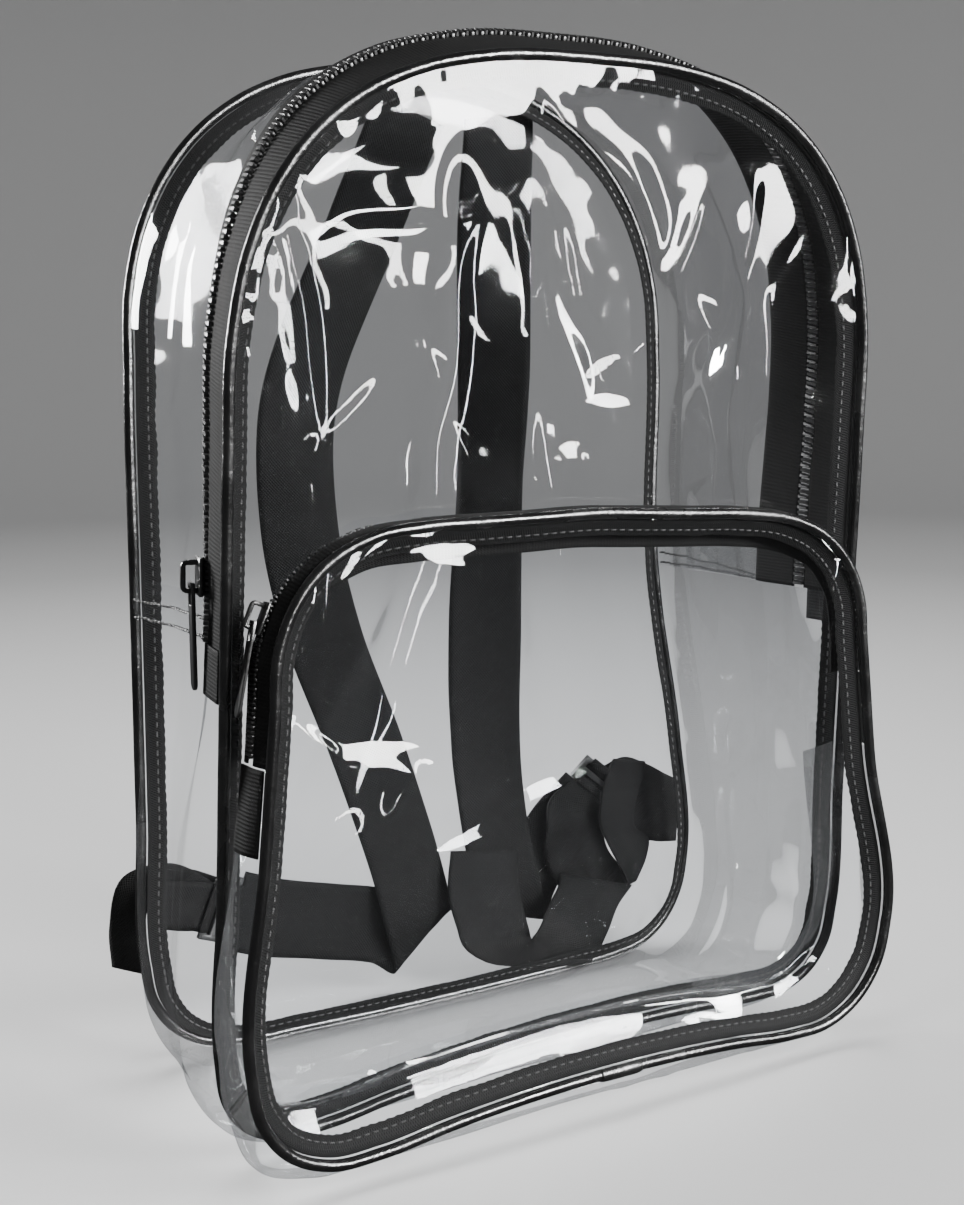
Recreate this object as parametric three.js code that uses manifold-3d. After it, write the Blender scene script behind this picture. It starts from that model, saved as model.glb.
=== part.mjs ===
// A clear backpack: film panels and gussets, black zips, piping, bindings and straps.
// Millimetres. +X is the right of the front, +Y goes from the front to the back, +Z is up.
// The origin is the middle of the box that holds the bag, on the floor.
import * as THREE from 'three';
import { mergeVertices } from 'three/addons/utils/BufferGeometryUtils.js';
import Module from 'manifold-3d';

const wasm = await Module();
wasm.setup();

// Driving dimensions: film, cord, tape and the gap that neighbours keep
const FILM = 1.0;
const GAP = 0.3;
const TEETH_GAP = 0.5;
const CORD_RADIUS = 2.4;
const CORD_SIDES = 6;
const BINDING_WIDTH = 9;
const BINDING_THICKNESS = 1.0;
const BINDING_ANGLE = 30;
const TAPE = 1.0;

// Driving dimensions: the three seams that carry the piping.
// Lean is the slope of the panel's plane, back for each unit of height.
const FRONT = {
  topWidth: 305, bottomWidth: 316, height: 428, archHeight: 150, archReach: 152.5, archPower: 2.75,
  cornerRadius: 45, cornerPower: 2.2, lift: 6.4, hump: 12.9, slope: 4, depth: 0, lean: -0.069,
};
const BACK = {
  topWidth: 283, bottomWidth: 300, height: 444, archHeight: 136, archReach: 141.5, archPower: 2.36,
  cornerRadius: 44, cornerPower: 2.2, lift: 6.4, hump: -4, slope: -0.8, depth: 105, lean: 0.044,
};
const POCKET = {
  topWidth: 288, bottomWidth: 317, height: 255, archHeight: 67, archReach: 67, archPower: 2.43,
  cornerRadius: 54, cornerPower: 2.1, lift: 2.5, hump: 15.3, slope: 0.2, depth: -37, lean: 0.01,
};

// Where a seam is drawn in or out of its plain outline: shares of the seam's own height,
// and millimetres outward and upward
const SEAM_PULLS = [
  { seam: BACK, side: 1, height: 0.48, reach: 0.16, out: -8, rise: 0 },
  { seam: BACK, side: 1, height: 0.17, reach: 0.09, out: 5, rise: 0 },
  { seam: POCKET, side: 1, height: 0.97, reach: 0.2, out: 0, rise: -7 },
  { seam: POCKET, side: 1, height: 0.22, reach: 0.12, out: 4, rise: 0 },
];
const HUMP_HEIGHT = 0.35;

// Heights above the floor where the main zip ends, and where the two gussets are sewn together
const ZIP_END = 193;
const JOIN = 208;
const LAP_TOP = 226;
const LOW_SIDE = 115;
const POCKET_ZIP_END = 172;
const POCKET_LOW_SIDE = 138;

// Main zip, measured back from the front seam
const MAIN_ZIP = { tape: 24.6, teeth: 5, rib: 3.6, core: 2.2, pitch: 9 };
// Pocket zip, measured back from the pocket's seam
const POCKET_ZIP = { tape: 7.2, teeth: 3.8, rib: 2.8, core: 1.8, pitch: 9, rearTape: 16 };

// Slack of the film and tape between the front and back seams: share of the way back, and shares of
// GUSSET_SLACK outward on each side. The bottom's column is a share of the way down to the floor.
const GUSSET_SLACK = 10;
const MAIN_SLACK = [
  { back: 0.00, top: 0.0, leftHigh: 0.00, rightHigh: 0.0, leftLow: 0.0, rightLow: 0.0, bottom: 0 },
  { back: 0.12, top: 0.6, leftHigh: -0.05, rightHigh: 0.0, leftLow: 0.6, rightLow: 0.4, bottom: 1 },
  { back: 0.24, top: 1.1, leftHigh: -0.20, rightHigh: 0.0, leftLow: 0.9, rightLow: 0.6, bottom: 1 },
  { back: 0.42, top: 0.9, leftHigh: -1.10, rightHigh: 0.0, leftLow: 0.4, rightLow: 0.3, bottom: 1 },
  { back: 0.65, top: -0.4, leftHigh: -1.00, rightHigh: 0.3, leftLow: 0.2, rightLow: 0.2, bottom: 1 },
  { back: 0.88, top: -0.4, leftHigh: -0.30, rightHigh: 0.3, leftLow: 0.5, rightLow: 0.4, bottom: 1 },
  { back: 1.00, top: 0.0, leftHigh: 0.00, rightHigh: 0.0, leftLow: 0.0, rightLow: 0.0, bottom: 0 },
];
const SLACK_CHANGE = [130, 185];
const CORNER_SAG = 12;

// The same for the pocket, in shares of POCKET_SLACK, from its seam to the line where it is sewn on the
// front panel. The last rows lie flat on the front panel, inside the pocket's outline. The column fall is
// the share of the way down to the floor that the bottom sags.
const POCKET_SLACK = 10;
const POCKET_ROWS = [
  { back: 0.00, top: 0.00, left: 0.00, right: 0.0, leftLow: 0.0, rightLow: 0.0, bottom: 0.0, fall: 0 },
  { back: 0.32, top: 0.35, left: 0.30, right: 0.5, leftLow: 0.5, rightLow: 0.4, bottom: 0.0, fall: 1 },
  { back: 0.60, top: 0.10, left: 0.40, right: 0.8, leftLow: 0.6, rightLow: 0.4, bottom: 0.0, fall: 1 },
  { back: 0.96, top: -0.40, left: 0.34, right: 0.7, leftLow: 0.3, rightLow: 0.2, bottom: 0.0, fall: 0.4 },
  { back: 1.00, top: -0.90, left: -0.20, right: 0.1, leftLow: -0.3, rightLow: -0.3, bottom: -0.8, fall: 0 },
  { back: 1.00, top: -1.50, left: -0.90, right: -0.8, leftLow: -0.6, rightLow: -0.6, bottom: -1.1, fall: 0 },
  { back: 1.00, top: -2.40, left: -2.00, right: -1.9, leftLow: -0.9, rightLow: -0.9, bottom: -1.5, fall: 0 },
];
const POCKET_SLACK_CHANGE = [120, 165];

// Main dents and swells of the panels: shares of the seam's width and height, and of RELIEF outward
const RELIEF = 9;
const PANEL_RELIEF = [
  { seam: FRONT, x: -0.22, z: 0.80, reachX: 0.10, reachZ: 0.13, out: 0.5 },
  { seam: FRONT, x: -0.05, z: 0.76, reachX: 0.09, reachZ: 0.16, out: -0.45 },
  { seam: FRONT, x: 0.20, z: 0.84, reachX: 0.10, reachZ: 0.10, out: 0.45 },
  { seam: FRONT, x: 0.10, z: 0.70, reachX: 0.16, reachZ: 0.05, out: -0.3 },
  { seam: BACK, x: 0, z: 0.48, reachX: 0.36, reachZ: 0.42, out: 1 },
  { seam: BACK, x: 0.26, z: 0.45, reachX: 0.08, reachZ: 0.20, out: -0.5 },
  { seam: BACK, x: -0.10, z: 0.30, reachX: 0.10, reachZ: 0.12, out: 0.3 },
  { seam: POCKET, x: -0.25, z: 0.35, reachX: 0.12, reachZ: 0.22, out: 0.45 },
  { seam: POCKET, x: 0.22, z: 0.40, reachX: 0.14, reachZ: 0.25, out: 0.55 },
  { seam: POCKET, x: 0.02, z: 0.62, reachX: 0.16, reachZ: 0.14, out: -0.3 },
];
const PANEL_RINGS = [1, 0.94, 0.82, 0.6, 0.32];
const PANEL_CENTRE = 0.5;

// Slider and pull of the main zip; the pocket's are smaller by the factor
const SLIDER = { length: 15, width: 9.6, plate: 1.6, throat: 4.4, web: 4.2, bridgeLength: 13,
  bridgeHeight: 6.5, bridgeBar: 2, bridgeWidth: 2.4 };
const PULL = { length: 42, width: 7.6, waist: 7, thickness: 1.6, crossbar: 1.8, eye: 7.4, eyeWidth: 3.8 };
const MAIN_SLIDER_HEIGHT = 235.5;
const POCKET_SLIDER_HEIGHT = 225;
const POCKET_SLIDER_SCALE = 0.85;
const POCKET_PULL_LEAN = 13;

// Straps: shares of the back's width across and of the strap's top height up, and shares of
// STRAP_STANDOFF behind the back panel's plane. Twist is in degrees; fold marks a flat fold.
const STRAP_WIDTH = 38;
const STRAP_THICKNESS = 2;
const STRAP_STANDOFF = 47;
const STRAP_TUCK = 3;
const WEBBING_WIDTH = 22;
const WEBBING_THICKNESS = 1.6;
const TAIL_WIDTH = 18;
const STRAP_LEFT = [
  { x: 0.01, z: 1, back: 0.05, twist: 0, fold: 0 },
  { x: -0.05, z: 0.88, back: 0.4, twist: 0, fold: 0 },
  { x: -0.145, z: 0.69, back: 0.85, twist: 10, fold: 0 },
  { x: -0.145, z: 0.545, back: 1, twist: 20, fold: 0 },
  { x: -0.115, z: 0.42, back: 0.94, twist: 20, fold: 0 },
  { x: -0.06, z: 0.29, back: 0.75, twist: 8, fold: 0 },
  { x: -0.015, z: 0.145, back: 0.46, twist: 0, fold: 0 },
  { x: 0, z: 0.085, back: 0.4, twist: 0, fold: 0 },
  { x: 0.01, z: 0.058, back: 0.46, twist: 0, fold: 1 },
  { x: -0.06, z: 0.079, back: 0.56, twist: 0, fold: 0 },
  { x: -0.16, z: 0.1, back: 0.5, twist: 0, fold: 0 },
  { x: -0.27, z: 0.125, back: 0.32, twist: 0, fold: 0 },
  { x: -0.34, z: 0.145, back: 0.25, twist: 0, fold: 0 },
];
const STRAP_RIGHT = [
  { x: 0.172, z: 1, back: 0.05, twist: 0, fold: 0 },
  { x: 0.19, z: 0.88, back: 0.4, twist: 15, fold: 0 },
  { x: 0.215, z: 0.715, back: 0.78, twist: 45, fold: 0 },
  { x: 0.215, z: 0.575, back: 0.95, twist: 58, fold: 0 },
  { x: 0.19, z: 0.42, back: 0.86, twist: 30, fold: 0 },
  { x: 0.16, z: 0.265, back: 0.6, twist: 8, fold: 0 },
  { x: 0.165, z: 0.145, back: 0.43, twist: 0, fold: 0 },
  { x: 0.18, z: 0.09, back: 0.4, twist: 0, fold: 0 },
  { x: 0.19, z: 0.062, back: 0.46, twist: 0, fold: 1 },
  { x: 0.235, z: 0.1, back: 0.56, twist: 0, fold: 0 },
  { x: 0.3, z: 0.155, back: 0.62, twist: 0, fold: 0 },
  { x: 0.355, z: 0.2, back: 0.44, twist: 0, fold: 0 },
];
// The loose end of the left webbing, from where it leaves its adjuster
const TAIL_LEFT = [
  { x: -0.43, z: 0.185, back: 0.36, twist: 0, fold: 0 },
  { x: -0.485, z: 0.18, back: 0.42, twist: 20, fold: 0 },
  { x: -0.505, z: 0.14, back: 0.38, twist: 45, fold: 0 },
  { x: -0.51, z: 0.1, back: 0.3, twist: 55, fold: 0 },
];
const ADJUSTER = { width: 32, height: 14, thickness: 2.6, bar: 2.6 };

// Sleeves over the joint of a piping: places across the bottom, as shares of the seam's width
const SLEEVE_WALL = 0.8;
const SLEEVE_SPAN = [-150, -20];
const FRONT_SLEEVE = { x: 0.0, length: 11 };
const POCKET_SLEEVE = { x: 0.03, length: 21 };

// Materials
const film = new THREE.MeshStandardMaterial({ color: 0xe9edf2, roughness: 0.08, metalness: 0, transparent: true,
  opacity: 0.3 });
const cord = new THREE.MeshStandardMaterial({ color: 0x0b0b0d, roughness: 0.3, metalness: 0 });
const binding = new THREE.MeshStandardMaterial({ color: 0x101012, roughness: 0.6, metalness: 0 });
const tape = new THREE.MeshStandardMaterial({ color: 0x121214, roughness: 0.85, metalness: 0 });
const teeth = new THREE.MeshStandardMaterial({ color: 0x17171a, roughness: 0.35, metalness: 0 });
const enamel = new THREE.MeshStandardMaterial({ color: 0x09090b, roughness: 0.3, metalness: 0.4 });
const webbing = new THREE.MeshStandardMaterial({ color: 0x1b1b1e, roughness: 0.85, metalness: 0 });
const nylon = new THREE.MeshStandardMaterial({ color: 0x141416, roughness: 0.4, metalness: 0 });

const group = new THREE.Group();
const bag = new THREE.Group();
group.add(bag);

const BACKWARD = new THREE.Vector3(0, 1, 0);
const mix = THREE.MathUtils.lerp;
const clamp = THREE.MathUtils.clamp;
const smooth = THREE.MathUtils.smoothstep;
const radians = THREE.MathUtils.degToRad;

// Bodies made from a grid of points

// The signed volume tells whether the faces point outward; if not, each triangle is turned.
function bodyGeometry(positions, triangles) {
  let volume = 0;
  const [a, b, c] = [new THREE.Vector3(), new THREE.Vector3(), new THREE.Vector3()];
  for (const [i, j, k] of triangles) {
    volume += a.copy(positions[i]).dot(b.copy(positions[j]).cross(c.copy(positions[k])));
  }
  const index = triangles.flatMap(([i, j, k]) => (volume < 0 ? [i, k, j] : [i, j, k]));
  const geometry = new THREE.BufferGeometry();
  geometry.setAttribute('position', new THREE.Float32BufferAttribute(positions.flatMap((p) => p.toArray()), 3));
  geometry.setIndex(index);
  geometry.computeVertexNormals();
  return geometry;
}

// A tube or bar from rings of points with as many points each; open ends are capped.
function sweep(rings, closed) {
  const count = rings[0].length;
  const positions = rings.flat();
  const triangles = [];
  const last = closed ? rings.length : rings.length - 1;
  for (let i = 0; i < last; i++) {
    for (let j = 0; j < count; j++) {
      const a = i * count + j;
      const b = i * count + (j + 1) % count;
      const c = ((i + 1) % rings.length) * count + (j + 1) % count;
      const d = ((i + 1) % rings.length) * count + j;
      triangles.push([a, b, c], [a, c, d]);
    }
  }
  if (!closed) {
    const end = (rings.length - 1) * count;
    for (let j = 1; j < count - 1; j++) {
      triangles.push([0, j + 1, j], [end, end + j, end + j + 1]);
    }
  }
  return bodyGeometry(positions, triangles);
}

// A thin body from rings whose first half runs along one face and second half back along the other.
// Both faces are split along the same diagonals, so that they stay apart where the body twists.
function shell(rings) {
  const count = rings[0].length;
  const width = count / 2;
  const positions = rings.flat();
  const triangles = [];
  for (let i = 0; i < rings.length - 1; i++) {
    for (let j = 0; j < count; j++) {
      const a = i * count + j;
      const b = i * count + (j + 1) % count;
      if (j < width) {
        triangles.push([a, b, b + count], [a, b + count, a + count]);
      } else {
        triangles.push([a, b, a + count], [b, b + count, a + count]);
      }
    }
  }
  const end = (rings.length - 1) * count;
  for (let j = 0; j < width - 1; j++) {
    const [a, b, c, d] = [j, j + 1, count - 2 - j, count - 1 - j];
    triangles.push([a, c, b], [a, d, c], [end + a, end + b, end + c], [end + a, end + c, end + d]);
  }
  return bodyGeometry(positions, triangles);
}

// A wall of even thickness from a grid of { point, normal }, rows by columns
function wall(rows, thickness) {
  return shell(rows.map((row) => {
    const outer = row.map(({ point, normal }) => point.clone().addScaledVector(normal, thickness / 2));
    const inner = row.map(({ point, normal }) => point.clone().addScaledVector(normal, -thickness / 2));
    return [...outer, ...inner.reverse()];
  }));
}

// Seams

// Half of a plain outline, from the middle of the bottom to the middle of the top
function halfOutline(seam, sideHeights) {
  const half = seam.topWidth / 2;
  const base = seam.bottomWidth / 2;
  const radius = seam.cornerRadius;
  const archStart = seam.height - seam.archHeight;
  const points = [0, 0.35, 0.7].map((share) => [share * (base - radius), 0]);
  for (let k = 0; k <= 4; k++) {
    const angle = (k / 4) * (Math.PI / 2);
    const across = Math.sin(angle) ** (2 / seam.cornerPower);
    const up = 1 - Math.cos(angle) ** (2 / seam.cornerPower);
    points.push([base - radius + radius * across, radius * up]);
  }
  for (const height of sideHeights) {
    const z = height - seam.lift;
    points.push([mix(base, half, (z - radius) / (archStart - radius)), z]);
  }
  const steps = seam.archReach < half ? 5 : 8;
  for (let k = 0; k <= steps; k++) {
    const angle = (k / steps) * (Math.PI / 2);
    const across = Math.max(0, Math.cos(angle)) ** (2 / seam.archPower);
    const up = Math.sin(angle) ** (2 / seam.archPower);
    points.push([half - seam.archReach + seam.archReach * across, archStart + seam.archHeight * up]);
  }
  if (seam.archReach < half) {
    for (const share of [0.66, 0.33, 0]) {
      points.push([share * (half - seam.archReach), seam.height]);
    }
  }
  return points;
}

function planeAt(seam, z) {
  return seam.depth + seam.lean * z;
}

// The plain outline's point, after the bottom's hump, the lift off the floor and the pulls
function settle(seam, x, z) {
  const low = clamp(1 - z / (HUMP_HEIGHT * seam.height), 0, 1);
  const side = x / (seam.bottomWidth / 2);
  let height = z + low * (seam.hump * (1 - side * side) + seam.slope * side) + seam.lift;
  let across = x;
  for (const pull of SEAM_PULLS.filter((row) => row.seam === seam)) {
    const near = Math.exp(-(((z / seam.height - pull.height) / pull.reach) ** 2));
    const share = near * clamp(side * pull.side * 1.6, 0, 1);
    across += pull.side * pull.out * share;
    height += pull.rise * share;
  }
  return new THREE.Vector3(across, planeAt(seam, height), height);
}

// A closed seam: stations are whole numbers, and places between them follow the curve
function makeSeam(seam, sideHeights) {
  const half = halfOutline(seam, sideHeights);
  const mirrored = half.slice(1, -1).reverse().map(([x, z]) => [-x, z]);
  const points = [...half, ...mirrored].map(([x, z]) => settle(seam, x, z));
  const curve = new THREE.CatmullRomCurve3(points, true, 'centripetal');
  const count = points.length;
  const at = (u) => curve.getPoint((((u / count) % 1) + 1) % 1);
  const tangent = (u) => at(u + 0.02).sub(at(u - 0.02)).setY(0).normalize();
  const normal = (u) => {
    const along = tangent(u);
    return new THREE.Vector3(along.z, 0, -along.x);
  };
  return { shape: seam, count, at, normal, straight: count - 3 };
}

const SIDES = [LOW_SIDE, ZIP_END, JOIN, LAP_TOP];
const POCKET_SIDES = [POCKET_LOW_SIDE, POCKET_ZIP_END];
const frontSeam = makeSeam(FRONT, SIDES);
const backSeam = makeSeam(BACK, SIDES);
const pocketSeam = makeSeam(POCKET, POCKET_SIDES);

// Stations of the main seams, counted from the middle of the bottom towards the right
const CORNER_END = 7;
const LOW_STATION = CORNER_END + 1;
const ZIP_STATION = LOW_STATION + 1;
const JOIN_STATION = ZIP_STATION + 1;
const LAP_STATION = JOIN_STATION + 1;
const POCKET_ZIP_STATION = CORNER_END + 2;

function range(from, to) {
  const values = [];
  for (let value = from; value <= to; value++) {
    values.push(value);
  }
  return values;
}

// Stations from one to another, both moved in by the given share of a station
function trimmed(from, to, trim) {
  const values = range(from, to);
  values[0] += trim;
  values[values.length - 1] -= trim;
  return values;
}

// The station on the left or right side of a seam at a height above the floor
function stationAtHeight(seam, side, height) {
  let low = side > 0 ? CORNER_END : seam.count - CORNER_END;
  let high = seam.count / 2;
  for (let k = 0; k < 40; k++) {
    const middle = (low + high) / 2;
    if (seam.at(middle).z < height) {
      low = middle;
    } else {
      high = middle;
    }
  }
  return (low + high) / 2;
}

// Bands: the way from one seam back to the next, walked in millimetres

function sideShares(normal) {
  return {
    right: Math.max(0, normal.x) ** 2, left: Math.max(0, -normal.x) ** 2,
    top: Math.max(0, normal.z) ** 2, bottom: Math.max(0, -normal.z) ** 2,
  };
}

function isBottom(seam, u) {
  const place = ((u % seam.count) + seam.count) % seam.count;
  return place <= 3 || place >= seam.straight;
}

// The points of the main gusset's section at a station
function mainSection(u) {
  const start = frontSeam.at(u);
  const end = backSeam.at(u);
  const flat = isBottom(frontSeam, u);
  const normal = flat ? new THREE.Vector3(0, 0, -1) : frontSeam.normal(u).add(backSeam.normal(u)).normalize();
  const share = sideShares(normal);
  const high = smooth(start.z, SLACK_CHANGE[0], SLACK_CHANGE[1]);
  return {
    normal,
    points: MAIN_SLACK.map((row) => {
      const point = start.clone().lerp(end, row.back);
      const fall = point.z - FILM / 2;
      const drop = flat ? fall : Math.min(fall, CORNER_SAG) * share.bottom;
      const left = mix(row.leftLow, row.leftHigh, high) * share.left;
      const right = mix(row.rightLow, row.rightHigh, high) * share.right;
      const slack = (left + right + row.top * share.top) * GUSSET_SLACK;
      return point.addScaledVector(normal, slack + row.bottom * drop);
    }),
  };
}

// The points of the pocket's side wall at a station: it goes back to the front panel and turns in along it
function pocketSection(u) {
  const start = pocketSeam.at(u);
  const normal = isBottom(pocketSeam, u) ? new THREE.Vector3(0, 0, -1) : pocketSeam.normal(u);
  const share = sideShares(normal);
  const high = smooth(start.z, POCKET_SLACK_CHANGE[0], POCKET_SLACK_CHANGE[1]);
  return {
    normal,
    points: POCKET_ROWS.map((row) => {
      const left = mix(row.leftLow, row.left, high) * share.left;
      const right = mix(row.rightLow, row.right, high) * share.right;
      const sag = Math.min(start.z - FILM, CORNER_SAG * 1.5) * row.fall * share.bottom;
      const slack = (left + right + row.top * share.top + row.bottom * share.bottom) * POCKET_SLACK;
      const point = start.clone().addScaledVector(normal, slack + sag);
      const seat = planeAt(FRONT, point.z) - FILM - GAP;
      point.y = mix(start.y, seat, row.back);
      return point;
    }),
  };
}

// The point and the wall's normal at a distance along a section; a negative distance counts from its end
function walk(section, distance) {
  const { points, normal } = section;
  const lengths = points.slice(1).map((point, k) => point.distanceTo(points[k]));
  const total = lengths.reduce((sum, length) => sum + length, 0);
  const locate = (goal) => {
    let left = clamp(goal, 0, total);
    for (let k = 0; k < lengths.length; k++) {
      if (left <= lengths[k] || k === lengths.length - 1) {
        return points[k].clone().lerp(points[k + 1], left / lengths[k]);
      }
      left -= lengths[k];
    }
    return points[0].clone();
  };
  const goal = distance < 0 ? total + distance : distance;
  const along = locate(goal + 1).sub(locate(goal - 1)).normalize();
  const side = new THREE.Vector3().crossVectors(BACKWARD, normal).normalize();
  const out = new THREE.Vector3().crossVectors(side, along).normalize();
  return { point: locate(goal), normal: out, along };
}

// The same at any place, on the straight line between the stations on each side of it
function walkChord(sectionAt, u, distance) {
  const low = walk(sectionAt(Math.floor(u)), distance);
  const high = walk(sectionAt(Math.floor(u) + 1), distance);
  const share = u - Math.floor(u);
  const point = low.point.lerp(high.point, share);
  const normal = low.normal.lerp(high.normal, share).normalize();
  const along = low.along.lerp(high.along, share);
  along.addScaledVector(normal, -along.dot(normal)).normalize();
  return { point, normal, along };
}

function bandWall(sectionAt, stations, distances, thickness, raise = 0) {
  return wall(stations.map((u) => distances.map((distance) => {
    const { point, normal } = walkChord(sectionAt, u, distance);
    return { point: point.addScaledVector(normal, raise), normal };
  })), thickness);
}

// Pieces

function add(name, geometry, material) {
  const mesh = new THREE.Mesh(geometry, material);
  mesh.name = name;
  bag.add(mesh);
  return mesh;
}

const EDGE = CORD_RADIUS + GAP + 0.1;

function pipingGeometry(seam) {
  return sweep(range(0, seam.count - 1).map((u) => {
    const centre = seam.at(u);
    const normal = seam.normal(u);
    return range(0, CORD_SIDES - 1).map((k) => {
      const angle = (k + 0.5) * (2 * Math.PI / CORD_SIDES);
      return centre.clone().addScaledVector(normal, CORD_RADIUS * Math.cos(angle))
        .addScaledVector(BACKWARD, CORD_RADIUS * Math.sin(angle));
    });
  }), true);
}

// The tape that binds the seam's raw edges stands inside the corner between panel and gusset.
function bindingGeometry(seam, inward) {
  const start = (CORD_RADIUS + GAP + BINDING_THICKNESS / 2) * Math.SQRT1_2;
  const angle = radians(BINDING_ANGLE);
  const rise = [Math.cos(angle), Math.sin(angle)];
  const corners = [[0, -0.5], [1, -0.5], [1, 0.5], [0, 0.5]].map(([length, side]) => [
    start + rise[0] * BINDING_WIDTH * length - rise[1] * BINDING_THICKNESS * side,
    start + rise[1] * BINDING_WIDTH * length + rise[0] * BINDING_THICKNESS * side,
  ]);
  return sweep(range(0, seam.count - 1).map((u) => {
    const centre = seam.at(u);
    const normal = seam.normal(u);
    return corners.map(([inset, back]) => centre.clone().addScaledVector(normal, -inset)
      .addScaledVector(BACKWARD, back * inward));
  }), true);
}

function reliefAt(seam, x, z) {
  return PANEL_RELIEF.filter((row) => row.seam === seam).reduce((sum, row) => {
    const across = (x / seam.topWidth - row.x) / row.reachX;
    const up = (z / seam.height - row.z) / row.reachZ;
    return sum + RELIEF * row.out * Math.exp(-across * across - up * up);
  }, 0);
}

// A film panel inside its seam: rings that shrink to the middle, thick across its own plane
function panelGeometry(seam, outward) {
  const shape = seam.shape;
  const middle = new THREE.Vector3(0, 0, shape.lift + PANEL_CENTRE * shape.height);
  const faces = [-0.5, 0.5];
  const positions = [];
  const place = (x, z, share) => {
    const free = smooth(1 - share, 0, 0.3);
    return planeAt(shape, z) + outward * free * reliefAt(shape, x, z);
  };
  for (const face of faces) {
    for (const share of PANEL_RINGS) {
      for (const u of range(0, seam.count - 1)) {
        const edge = seam.at(u).addScaledVector(seam.normal(u), -EDGE);
        const x = mix(middle.x, edge.x, share);
        const z = mix(middle.z, edge.z, share);
        positions.push(new THREE.Vector3(x, place(x, z, share) + face * FILM, z));
      }
    }
    positions.push(new THREE.Vector3(middle.x, place(middle.x, middle.z, 0) + face * FILM, middle.z));
  }
  const count = seam.count;
  const layer = PANEL_RINGS.length * count + 1;
  const triangles = [];
  for (let u = 0; u < count; u++) {
    const next = (u + 1) % count;
    for (let ring = 0; ring < PANEL_RINGS.length - 1; ring++) {
      const [a, b] = [ring * count + u, ring * count + next];
      triangles.push([a, b, b + count], [a, b + count, a + count]);
      triangles.push([layer + a, layer + b + count, layer + b], [layer + a, layer + a + count, layer + b + count]);
    }
    const inner = (PANEL_RINGS.length - 1) * count;
    triangles.push([inner + u, inner + next, layer - 1]);
    triangles.push([layer + inner + u, 2 * layer - 1, layer + inner + next]);
    triangles.push([u, layer + u, layer + next], [u, layer + next, next]);
  }
  return bodyGeometry(positions, triangles);
}

// Stations spaced evenly in millimetres along a band, one for each half tooth
function toothStations(sectionAt, from, to, distance, pitch) {
  const steps = 400;
  const places = [{ u: from, length: 0 }];
  let previous = walkChord(sectionAt, from, distance).point;
  for (let k = 1; k <= steps; k++) {
    const u = mix(from, to, k / steps);
    const { point } = walkChord(sectionAt, u, distance);
    places.push({ u, length: places[k - 1].length + point.distanceTo(previous) });
    previous = point;
  }
  const total = places[steps].length;
  const count = 2 * Math.round(total / pitch);
  return range(0, count).map((k) => {
    const goal = (total * k) / count;
    const after = Math.max(1, places.findIndex((place) => place.length >= goal - 1e-9));
    const [a, b] = [places[after - 1], places[after]];
    return mix(a.u, b.u, (goal - a.length) / (b.length - a.length));
  });
}

// Zip teeth joined by their core: the strip is thick on each tooth and thin between
function teethGeometry(sectionAt, from, to, zip) {
  const centre = EDGE + zip.tape + TEETH_GAP + zip.teeth / 2;
  const stations = toothStations(sectionAt, from, to, centre, zip.pitch);
  return sweep(stations.map((u, k) => {
    const { point, normal, along } = walkChord(sectionAt, u, centre);
    const half = (k % 2 ? zip.rib : zip.core) / 2;
    return [[-0.5, -1], [0.5, -1], [0.5, 1], [-0.5, 1]].map(([across, out]) => point.clone()
      .addScaledVector(along, across * zip.teeth).addScaledVector(normal, out * half));
  }), false);
}

// Film panels, piping and bindings
add('front_panel', panelGeometry(frontSeam, -1), film);
add('back_panel', panelGeometry(backSeam, 1), film);
add('pocket_front', panelGeometry(pocketSeam, -1), film);
add('front_piping', pipingGeometry(frontSeam), cord);
add('back_piping', pipingGeometry(backSeam), cord);
add('pocket_piping', pipingGeometry(pocketSeam), cord);
add('front_binding', bindingGeometry(frontSeam, 1), binding);
add('back_binding', bindingGeometry(backSeam, -1), binding);
add('pocket_binding', bindingGeometry(pocketSeam, 1), binding);

// Main gussets and zip
const SEAM_TRIM = 0.01;
const mainCount = frontSeam.count;
const tapeEnd = EDGE + MAIN_ZIP.tape;
const rearTapeStart = tapeEnd + MAIN_ZIP.teeth + 2 * TEETH_GAP;
const rearTapeEnd = rearTapeStart + MAIN_ZIP.tape;
const upperStart = rearTapeEnd + GAP;
const lowerStations = trimmed(-JOIN_STATION, JOIN_STATION, SEAM_TRIM);
const upperStations = trimmed(JOIN_STATION, mainCount - JOIN_STATION, SEAM_TRIM);
const LOWER_COLUMNS = [EDGE, 13, 28, 52, -40, -14, -EDGE];
add('lower_gusset', bandWall(mainSection, lowerStations, LOWER_COLUMNS, FILM), film);
add('upper_gusset', bandWall(mainSection, upperStations, [upperStart, -40, -14, -EDGE], FILM), film);
add('main_zip_tape_front', bandWall(mainSection, upperStations, [EDGE, 14, tapeEnd], TAPE), tape);
add('main_zip_tape_rear', bandWall(mainSection, upperStations, [rearTapeStart, 44, rearTapeEnd], TAPE), tape);

// The gussets' ends lap over each other on the outside, beside the zip
const LAP_TRIM = 0.03;
const outside = (FILM + TAPE) / 2 + GAP;
const lapColumns = [upperStart, -40, -14, -EDGE];
add('gusset_lap_right', bandWall(mainSection, [JOIN_STATION + LAP_TRIM, LAP_STATION], lapColumns, FILM,
  FILM + GAP), film);
add('gusset_lap_left', bandWall(mainSection, [mainCount - LAP_STATION, mainCount - JOIN_STATION - LAP_TRIM],
  lapColumns, FILM, FILM + GAP), film);

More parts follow.
